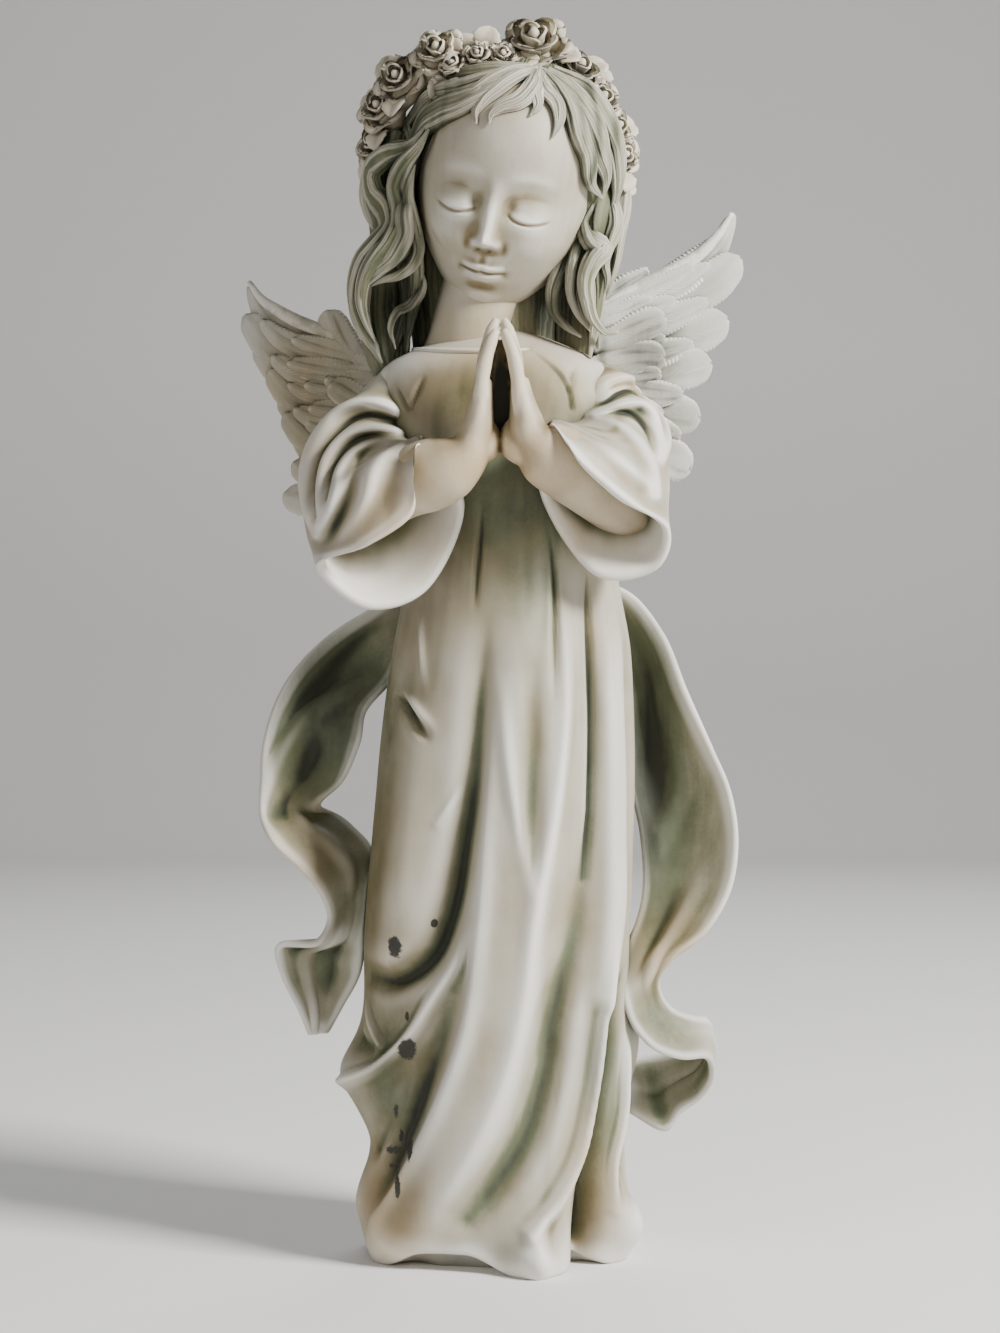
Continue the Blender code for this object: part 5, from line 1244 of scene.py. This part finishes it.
def buildRibbon(stations, folds, front):
    outer = np.array([s[0] for s in stations], float)
    inner = np.array([s[1] for s in stations], float)
    belly = np.array([s[2] for s in stations], float)
    line = pathThrough(np.concatenate((outer, inner, belly[:, None]), 1), ribbons["rows"])
    s = np.linspace(0.0, 1.0, ribbons["columns"])[None, :, None]
    grid = line[:, None, :3] * (1 - s) + line[:, None, 3:6] * s
    grid = grid + 4 * s * (1 - s) * line[:, None, 6:7] * np.array((0.0, 1.0, 0.0))
    t = np.linspace(0.0, 1.0, ribbons["rows"])[:, None]
    across = s[..., 0]
    flat = np.stack((30.0 * across + 0.0 * t, 100.0 * t + 0.0 * across), -1)
    normal = unitVectors(np.cross(np.gradient(grid, axis=0), np.gradient(grid, axis=1)))
    grid = grid + normal * (front * foldRelief(flat, folds))[..., None]
    wall = ribbons["wall"] * (1.0 - 0.25 * (2 * across - 1) ** 6) + 0.0 * t
    return sheet(grid, wall)


def buildSash():
    path = pathThrough(sashLine, 90)
    knot = pathThrough(knotLine, 24)
    return [
        sweep(path, unitVectors(path * (1, 1, 0)), 9.0, 3.2, 48, 7, 0.12),
        sweep(knot, (0.0, 1.0, 0.0), 8.0, 5.0, 32, 7, 0.12),
    ]


ribbonShells = [
    buildRibbon(rightRibbon, rightRibbonFolds, ribbons["front"][0]),
    buildRibbon(leftRibbon, leftRibbonFolds, ribbons["front"][1]),
]
ribbonShells += buildSash()
pieces.append(makePiece("ribbonsAndSash", ribbonShells))
print("ribbons built")

# how recessed and enclosed each point of the surface lies, for the antique wash and for the painted
# shade in hollows, under parts and between them
recess = {
    "cell": 0.9,  # drawn millimetres
    "margin": 14,  # cells
    "near": 1.2,  # blur, drawn millimetres
    "far": 4.5,
    "openShare": 0.22,  # how full the blurred grid is just outside a flat face
}


def blurred(grid, sigma):
    reach = int(math.ceil(2.6 * sigma))
    offsets = np.arange(-reach, reach + 1)
    weights = np.exp(-0.5 * (offsets / sigma) ** 2)
    weights = (weights / weights.sum()).astype(np.float32)
    for axis in range(3):
        total = np.zeros_like(grid)
        for offset, weight in zip(offsets, weights):
            total += weight * np.roll(grid, offset, axis)
        grid = total
    return grid


def solidGrid():
    # fills the statue column by column from the upward and downward areas of its faces
    corners = []
    for piece in pieces:
        mesh = piece.data
        points = readVectors(mesh.vertices, "co", len(mesh.vertices)) / unit
        mesh.calc_loop_triangles()
        faces = np.empty(len(mesh.loop_triangles) * 3, np.int32)
        mesh.loop_triangles.foreach_get("vertices", faces)
        corners.append(points[faces.reshape(-1, 3)])
    corners = np.concatenate(corners)
    cell = recess["cell"]
    low = corners.min((0, 1)) - recess["margin"] * cell
    size = np.ceil((corners.max((0, 1)) - low) / cell).astype(int) + recess["margin"]
    up = np.cross(corners[:, 1] - corners[:, 0], corners[:, 2] - corners[:, 0])[:, 2] / 2
    grid = np.zeros(size.prod(), np.float64)
    for a, b in ((0.5, 0.3), (0.2, 0.5), (0.3, 0.2)):  # three spots spread over each face
        spots = corners[:, 0] * a + corners[:, 1] * b + corners[:, 2] * (1 - a - b)
        index = ((spots - low) / cell).astype(int)
        flat = (index[:, 0] * size[1] + index[:, 1]) * size[2] + index[:, 2]
        grid += np.bincount(flat, -up / 3 / cell**2, len(grid))
    filled = np.clip(np.cumsum(grid.reshape(size), axis=2), 0.0, 1.0)
    return filled.astype(np.float32), low


def sample(grid, low, points):
    place = np.clip((points - low) / recess["cell"] - 0.5, 0, np.array(grid.shape) - 2.001)
    i = place.astype(int)
    f = place - i
    total = np.zeros(len(points))
    for dx in (0, 1):
        for dy in (0, 1):
            for dz in (0, 1):
                weight = (
                    np.where(dx, f[:, 0], 1 - f[:, 0])
                    * np.where(dy, f[:, 1], 1 - f[:, 1])
                    * np.where(dz, f[:, 2], 1 - f[:, 2])
                )
                total += weight * grid[i[:, 0] + dx, i[:, 1] + dy, i[:, 2] + dz]
    return total


def spreadOver(edges, values, counts):
    # mean of each vertex's neighbours
    size = len(counts)
    total = np.bincount(edges[:, 0], values[edges[:, 1]], size)
    return (total + np.bincount(edges[:, 1], values[edges[:, 0]], size)) / counts


def markFolds(piece):
    # how sharply the surface bends: positive in a crease, negative on an edge
    mesh = piece.data
    size = len(mesh.vertices)
    points = readVectors(mesh.vertices, "co", size) / unit
    normals = readVectors(mesh.vertex_normals, "vector", size)
    edges = np.empty(len(mesh.edges) * 2, np.int32)
    mesh.edges.foreach_get("vertices", edges)
    edges = edges.reshape(-1, 2)
    counts = np.maximum(np.bincount(edges.ravel(), minlength=size), 1)
    away = np.stack([spreadOver(edges, points[:, k], counts) - points[:, k] for k in range(3)], 1)
    length = np.sum((points[edges[:, 0]] - points[edges[:, 1]]) ** 2, 1)
    length = (
        np.bincount(edges[:, 0], length, size) + np.bincount(edges[:, 1], length, size)
    ) / counts
    bend = np.clip(2 * np.sum(away * normals, 1) / np.maximum(length, 0.01), -1.5, 1.5)
    for name, times in (("foldFine", 2), ("foldBroad", 26)):
        for _ in range(times):
            bend = 0.5 * bend + 0.5 * spreadOver(edges, bend, counts)
        setMark(mesh, name, bend)


def markRecesses():
    filled, low = solidGrid()
    for piece in pieces:
        markFolds(piece)
    for name, sigma in (("recessNear", recess["near"]), ("recessFar", recess["far"])):
        soft = blurred(filled, sigma / recess["cell"])
        for piece in pieces:
            mesh = piece.data
            size = len(mesh.vertices)
            normals = readVectors(mesh.vertex_normals, "vector", size)
            outside = readVectors(mesh.vertices, "co", size) / unit + normals * sigma * 0.8
            value = (sample(soft, low, outside) - recess["openShare"]) / recess["openShare"]
            setMark(mesh, name, value)


markRecesses()
print("recesses marked")


# paint
class Wire:
    def __init__(self, tree, socket):
        self.tree, self.socket = tree, socket

    def node(self, kind, settings=(), inputs=(), output=0):
        made = self.tree.nodes.new(kind)
        for name, value in dict(settings).items():
            setattr(made, name, value)
        for name, value in dict(inputs).items():
            if isinstance(value, Wire):
                self.tree.links.new(value.socket, made.inputs[name])
            else:
                made.inputs[name].default_value = value
        return Wire(self.tree, made.outputs[output])

    def calc(self, operation, *values):
        inputs = dict(enumerate(values))
        return self.node("ShaderNodeMath", {"operation": operation}, inputs)

    def __add__(self, other):
        return self.calc("ADD", self, other)

    def __radd__(self, other):
        return self.calc("ADD", other, self)

    def __sub__(self, other):
        return self.calc("SUBTRACT", self, other)

    def __rsub__(self, other):
        return self.calc("SUBTRACT", other, self)

    def __mul__(self, other):
        return self.calc("MULTIPLY", self, other)

    def __rmul__(self, other):
        return self.calc("MULTIPLY", other, self)

    def ramp(self, start, end):
        settings = {"interpolation_type": "SMOOTHSTEP", "clamp": True}
        inputs = {"Value": self, "From Min": start, "From Max": end}
        return self.node("ShaderNodeMapRange", settings, inputs)

    def colours(self, first, second, blend="MIX"):
        # self is the share of the second colour
        settings = {"data_type": "RGBA", "blend_type": blend, "clamp_factor": True}
        first = first if isinstance(first, Wire) else (*first, 1.0)
        second = second if isinstance(second, Wire) else (*second, 1.0)
        return self.node("ShaderNodeMix", settings, {0: self, 6: first, 7: second}, 2)

    def noise(self, place, scale, detail=3.0, roughness=0.55):
        inputs = {"Vector": place, "Scale": scale, "Detail": detail, "Roughness": roughness}
        return self.node("ShaderNodeTexNoise", (), inputs)

    def stretched(self, amounts):
        return self.node("ShaderNodeVectorMath", {"operation": "MULTIPLY"}, {0: self, 1: amounts})


paint = {
    # pale cream of worn edges, also laid on as painted highlight
    "raised": (0.73, 0.715, 0.66),
    "plain": (0.38, 0.345, 0.255),
    "tan": (0.24, 0.185, 0.10),
    "sage": (0.105, 0.125, 0.066),
    # near-black painted shade for the deepest hollows
    "deep": (0.026, 0.029, 0.017),
    "chip": (0.026, 0.025, 0.018),
    "glaze": (0.78, 0.62, 0.41),
    "roughness": 0.56,
    "grain": 0.10,
    "broadScale": 28.0,  # noise scales, per metre
    "patchScale": 110.0,
    "bendScale": 170.0,
    "streakScale": 420.0,
    "grainScale": 900.0,
    "streakSquash": 0.10,
    "spotEdge": (1.2, 0.2),
    "chipMiddle": -38.0,  # the chips' place and reach along y
    "chipReach": 25.0,
    "bumpStrength": 0.5,
    "bumpDepth": 0.6,  # drawn millimetres
}
pieceWashAndShade = {  # wash all over; wash and painted shade in creases and in hollows; bright edges, partly painted highlight; green; fine stripes; glaze
    "gown": (0.10, 1.00, 0.80, 1.0, 0.40, 0.0, 0.12),
    "sleeves": (0.08, 1.00, 0.75, 1.0, 0.35, 0.0, 0.20),
    "handsAndForearms": (0.08, 0.70, 0.50, 0.6, 0.0, 0.0, 0.55),
    "headAndNeck": (0.04, 0.60, 0.45, 0.5, 0.05, 0.0, 0.22),
    "hair": (0.42, 0.85, 1.00, 0.60, 0.40, 0.45, 0.40),
    "roseWreath": (0.26, 0.85, 0.95, 0.65, 0.20, 0.0, 0.50),
    "wings": (0.30, 1.30, 1.10, 0.80, 0.35, 0.45, 0.12),
    "ribbonsAndSash": (0.30, 0.90, 0.85, 0.60, 0.90, 0.0, 0.15),
}
glazes = {  # places where more of the ochre glaze lies: centre and half sizes, how much
    "gown": (
        ((0.0, -30.0, 287.0), (46.0, 34.0, 24.0), 0.75),
        ((-14.0, -30.0, 225.0), (22.0, 24.0, 26.0), 0.30),
        # painted shade: darker and warmer on the -x side, away from the key light
        ((-38.0, 0.0, 130.0), (24.0, 60.0, 120.0), 0.45),
        ((-36.0, -20.0, 20.0), (22.0, 40.0, 26.0), 0.60),
        ((30.0, -20.0, 30.0), (16.0, 40.0, 36.0), 0.45),
    ),
    "sleeves": (
        ((-30.0, -50.0, 240.0), (24.0, 22.0, 24.0), 0.55),
        ((-52.0, -20.0, 262.0), (24.0, 30.0, 30.0), 0.25),
        ((28.0, -34.0, 240.0), (26.0, 16.0, 16.0), 0.30),
        ((38.0, 0.0, 292.0), (20.0, 30.0, 14.0), 0.45),
    ),
    "headAndNeck": (((-3.0, -10.0, 306.0), (22.0, 26.0, 20.0), 0.45),),
    "handsAndForearms": (((0.0, -44.0, 262.0), (46.0, 30.0, 14.0), 0.30),),
    # painted shade: the -x wing, away from the key light, glazed darker
    "wings": (((-64.0, 26.0, 290.0), (34.0, 30.0, 44.0), 0.55),),
    "ribbonsAndSash": (
        ((-66.0, 0.0, 140.0), (16.0, 30.0, 40.0), 0.45),
        ((56.0, -6.0, 104.0), (24.0, 30.0, 24.0), 0.55),
    ),
}
shadeAndWashPools = {  # places where more wash and painted shade lie: centre and half sizes, how much
    "gown": (
        # painted shade on the chest, seen through the gap between the palms
        ((1.5, -30.0, 284.0), (6.0, 16.0, 18.0), 1.2),
        # painted shadow of the hands and forearms on the gown below them
        ((2.0, -34.0, 252.0), (26.0, 22.0, 20.0), 0.45),
        ((3.0, -32.0, 236.0), (34.0, 22.0, 36.0), 0.25),
        ((0.0, -30.0, 285.0), (40.0, 30.0, 22.0), 0.28),
        ((-36.0, -30.0, 50.0), (16.0, 18.0, 40.0), 0.40),
        ((34.0, -20.0, 60.0), (9.0, 18.0, 50.0), 0.45),
        # painted shade on the -x side of the gown, away from the key light
        ((-44.0, 0.0, 140.0), (28.0, 60.0, 120.0), 0.30),
        ((0.0, 36.0, 120.0), (70.0, 30.0, 160.0), 0.15),
    ),
    # painted shade: the sheet between the palms painted near-black
    "handsAndForearms": (((0.3, -43.0, 283.0), (3.0, 8.0, 18.0), 1.3),),
    "ribbonsAndSash": (
        ((50.0, 8.0, 165.0), (15.0, 24.0, 66.0), 0.75),
        ((-56.0, 8.0, 180.0), (26.0, 24.0, 46.0), 0.50),
    ),
    "wings": (
        # painted shade on the -x wing, away from the key light
        ((-62.0, 26.0, 290.0), (36.0, 30.0, 44.0), 0.32),
        ((50.0, 20.0, 306.0), (18.0, 20.0, 18.0), 0.55),
        ((58.0, 20.0, 282.0), (20.0, 24.0, 16.0), 0.35),
    ),
    "hair": (
        ((-31.0, -8.0, 316.0), (9.0, 16.0, 18.0), 0.9),
        ((18.0, -6.0, 318.0), (10.0, 14.0, 16.0), 1.0),
    ),
}
chips = (  # x, z, half width, half height, drawn millimetres
    (-34.1, 105.9, 3.0, 4.6),
    (-30.4, 71.7, 3.8, 4.2),
    (-21.2, 113.5, 1.3, 1.4),
    (-30.4, 83.0, 0.9, 2.2),
    (-34.3, 49.5, 1.4, 4.6),
    (-32.4, 43.5, 1.4, 4.6),
    (-35.0, 37.4, 4.4, 3.2),
    (-27.4, 50.0, 1.5, 4.8),
    (-29.8, 42.0, 1.6, 5.4),
    (-35.6, 32.5, 3.8, 2.0),
    (-33.4, 28.5, 1.2, 5.2),
)


def paintFor(name):
    amount, creaseShadeAndWash, hollowShadeAndWash, edges, greenness, stripes, warmth = pieceWashAndShade[name]
    material = bpy.data.materials.new("resin_" + name)
    material.use_nodes = True
    tree = material.node_tree
    shader = tree.nodes["Principled BSDF"]
    start = Wire(tree, None)
    place = start.node("ShaderNodeTexCoord", output="Object")

    def mark(attribute):
        return start.node("ShaderNodeAttribute", {"attribute_name": attribute}, output="Fac")

    def distance(centre, size):
        # one at the rim of the spot
        inputs = {0: place, 1: [c * unit for c in centre]}
        away = start.node("ShaderNodeVectorMath", {"operation": "SUBTRACT"}, inputs)
        away = away.stretched([1.0 / (k * unit) for k in size])
        return start.node("ShaderNodeVectorMath", {"operation": "LENGTH"}, {0: away}, "Value")

    def withSpots(total, spots):
        for centre, size, share in spots:
            total = total + distance(centre, size).ramp(*paint["spotEdge"]) * share
        return total

    broad = start.noise(place, paint["broadScale"])
    patchy = start.noise(place, paint["patchScale"], 4.0)
    grain = start.noise(place, paint["grainScale"], 3.0)
    drawn = place.stretched((1.0, 1.0, paint["streakSquash"]))
    streaks = start.noise(drawn, paint["streakScale"], 2.0)
    wear = (patchy - 0.5) * 0.45 + (streaks - 0.5) * 0.30 + (grain - 0.5) * 0.25
    fine, wide = mark("foldFine"), mark("foldBroad")
    local = fine - wide * 0.7
    fold = local.ramp(0.03, 0.34) * 0.50 + wide.ramp(0.0, 0.11) * 0.65
    # painted shade: darker where the statue closes round the surface, in hollows, under parts and
    # between them
    shade = mark("recessNear").ramp(0.2, 3.4) * 0.55 + mark("recessFar").ramp(0.2, 3.0) * 0.45
    # wash and painted shade together: creases, enclosed places and pools darken, with random wear
    # and an all-over wash
    washAndShade = fold * creaseShadeAndWash + shade * (1.4 * hollowShadeAndWash) + wear * 0.6 + amount
    washAndShade = withSpots(washAndShade, shadeAndWashPools.get(name, ()))
    # convex edges and swells: partly a worn, dry-brushed finish, partly painted highlight
    edge = (local * -1.0).ramp(0.04, 0.40) * 0.40 + (wide * -1.0).ramp(-0.02, 0.13) * 0.75
    # plain stone colour drifting between cream and tan
    colour = (broad.ramp(0.42, 0.74) * 0.8).colours(paint["plain"], paint["tan"])
    green = (broad * -1.0 + (0.5 + greenness)).ramp(-0.1, 0.5)
    washShadeColour = green.colours(paint["tan"], paint["sage"])
    # wash colour, and painted shade, in creases and hollows
    colour = (washAndShade.ramp(0.02, 0.60) * 0.95).colours(colour, washShadeColour)
    # near-black painted shade in the deepest hollows
    colour = washAndShade.ramp(0.45, 1.15).colours(colour, paint["deep"])
    # pale cream on edges and worn spots, less in the wash and painted shade; on edges partly
    # painted highlight
    paleWearAndHighlight = (edge * edges - washAndShade * 0.6 + wear * 0.7 + 0.20).ramp(0.0, 0.75)
    colour = paleWearAndHighlight.colours(colour, paint["raised"])
    # ochre glaze over everything, thicker in places
    glaze = (patchy - 0.5) * 0.5 + warmth
    glaze = withSpots(glaze, glazes.get(name, ()))
    colour = glaze.ramp(0.0, 1.0).colours(colour, paint["glaze"], "MULTIPLY")
    height = grain * paint["grain"] + patchy * 0.25
    if stripes:
        strand = mark("strand") * (2 * math.pi)
        strand = strand + (start.noise(place, paint["bendScale"], 3.0) - 0.5) * 7.0
        # the stripes die away on sharp rims
        wave = strand.calc("SINE", strand) * (local * -1.0).ramp(0.55, 0.20)
        height = height + wave * stripes
        colour = (wave.ramp(0.2, -1.0) * 0.40).colours(colour, paint["sage"])
    if name == "gown":
        ragged = (patchy - 0.5) * 1.5 + (grain - 0.5) * 0.6
        for x, z, halfX, halfZ in chips:
            centre, size = (x, paint["chipMiddle"], z), (halfX, paint["chipReach"], halfZ)
            lost = (distance(centre, size) + ragged).ramp(1.0, 0.75)
            colour = lost.colours(colour, paint["chip"])
            height = height - lost * 0.8
    depth = paint["bumpDepth"] * unit
    inputs = {"Strength": paint["bumpStrength"], "Distance": depth, "Height": height}
    bump = start.node("ShaderNodeBump", (), inputs)
    roughness = paint["roughness"] + washAndShade.ramp(0.0, 0.8) * 0.2 + (patchy - 0.5) * 0.12
    tree.links.new(colour.socket, shader.inputs["Base Color"])
    tree.links.new(roughness.socket, shader.inputs["Roughness"])
    tree.links.new(bump.socket, shader.inputs["Normal"])
    return material


for piece in pieces:
    piece.data.materials.append(paintFor(piece.name))
    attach(piece, "root")
    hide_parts("angel_statue")
counts = {piece.name: len(piece.data.polygons) for piece in pieces}
print("painted", sum(counts.values()), counts)

# studio
studio = {
    "floorColour": (0.80, 0.79, 0.77),
    "floorRoughness": 0.9,
    "floorFront": -3.0,
    "halfWidth": 4.0,
    "bendStart": 1.6,
    "bendRadius": 0.6,
    "wallTop": 3.0,
    "aimHeight": 0.22,  # where the lights point
    "worldColour": (0.86, 0.88, 0.92),
    "worldStrength": 0.18,
    "cameraHeight": 0.197,
    "cameraDistance": 0.800,
    "lens": 63.92,
}
lights = (  # place, size, watts, colour
    ((1.05, -0.62, 0.95), 0.34, 50.0, (1.0, 0.99, 0.97)),
    ((-1.0, -1.0, 0.7), 0.7, 5.0, (1.0, 0.97, 0.92)),
    ((0.2, 1.1, 1.2), 0.8, 8.0, (0.95, 0.97, 1.0)),
)


def buildFloor():
    turn = np.linspace(0, math.pi / 2, 24)
    start, radius, half = studio["bendStart"], studio["bendRadius"], studio["halfWidth"]
    bend = [(start + radius * math.sin(a), radius - radius * math.cos(a)) for a in turn]
    profile = [(studio["floorFront"], 0.0)] + bend + [(start + radius, studio["wallTop"])]
    points = [(x, y, z) for y, z in profile for x in (-half, half)]
    faces = [(2 * k, 2 * k + 1, 2 * k + 3, 2 * k + 2) for k in range(len(profile) - 1)]
    mesh = bpy.data.meshes.new("studioFloor")
    mesh.from_pydata(points, [], faces)
    mesh.shade_smooth()
    floor = addObject("studioFloor", mesh)
    material = bpy.data.materials.new("studioFloor")
    material.use_nodes = True
    shader = material.node_tree.nodes["Principled BSDF"]
    shader.inputs["Base Color"].default_value = (*studio["floorColour"], 1.0)
    shader.inputs["Roughness"].default_value = studio["floorRoughness"]
    mesh.materials.append(material)
    return floor


def buildLights():
    for number, (place, size, watts, colour) in enumerate(lights):
        data = bpy.data.lights.new("studioLight%d" % number, "AREA")
        data.size, data.energy, data.color = size, watts, colour
        lamp = addObject(data.name, data)
        lamp.location = place
        aim = Vector((0.0, 0.0, studio["aimHeight"])) - Vector(place)
        lamp.rotation_euler = aim.to_track_quat("-Z", "Y").to_euler()
    world = bpy.data.worlds.new("studioWorld")
    world.use_nodes = True
    sky = world.node_tree.nodes["Background"]
    sky.inputs["Color"].default_value = (*studio["worldColour"], 1.0)
    sky.inputs["Strength"].default_value = studio["worldStrength"]
    bpy.context.scene.world = world


def buildCamera():
    data = bpy.data.cameras.new("photoCamera")
    data.sensor_fit = "VERTICAL"
    data.sensor_height = 36.0
    data.lens = studio["lens"]
    camera = addObject("photoCamera", data)
    camera.location = (0.0, -studio["cameraDistance"], studio["cameraHeight"])
    camera.rotation_euler = (math.radians(90.0), 0.0, 0.0)
    bpy.context.scene.camera = camera


buildFloor()
buildLights()
buildCamera()
print("studio built")
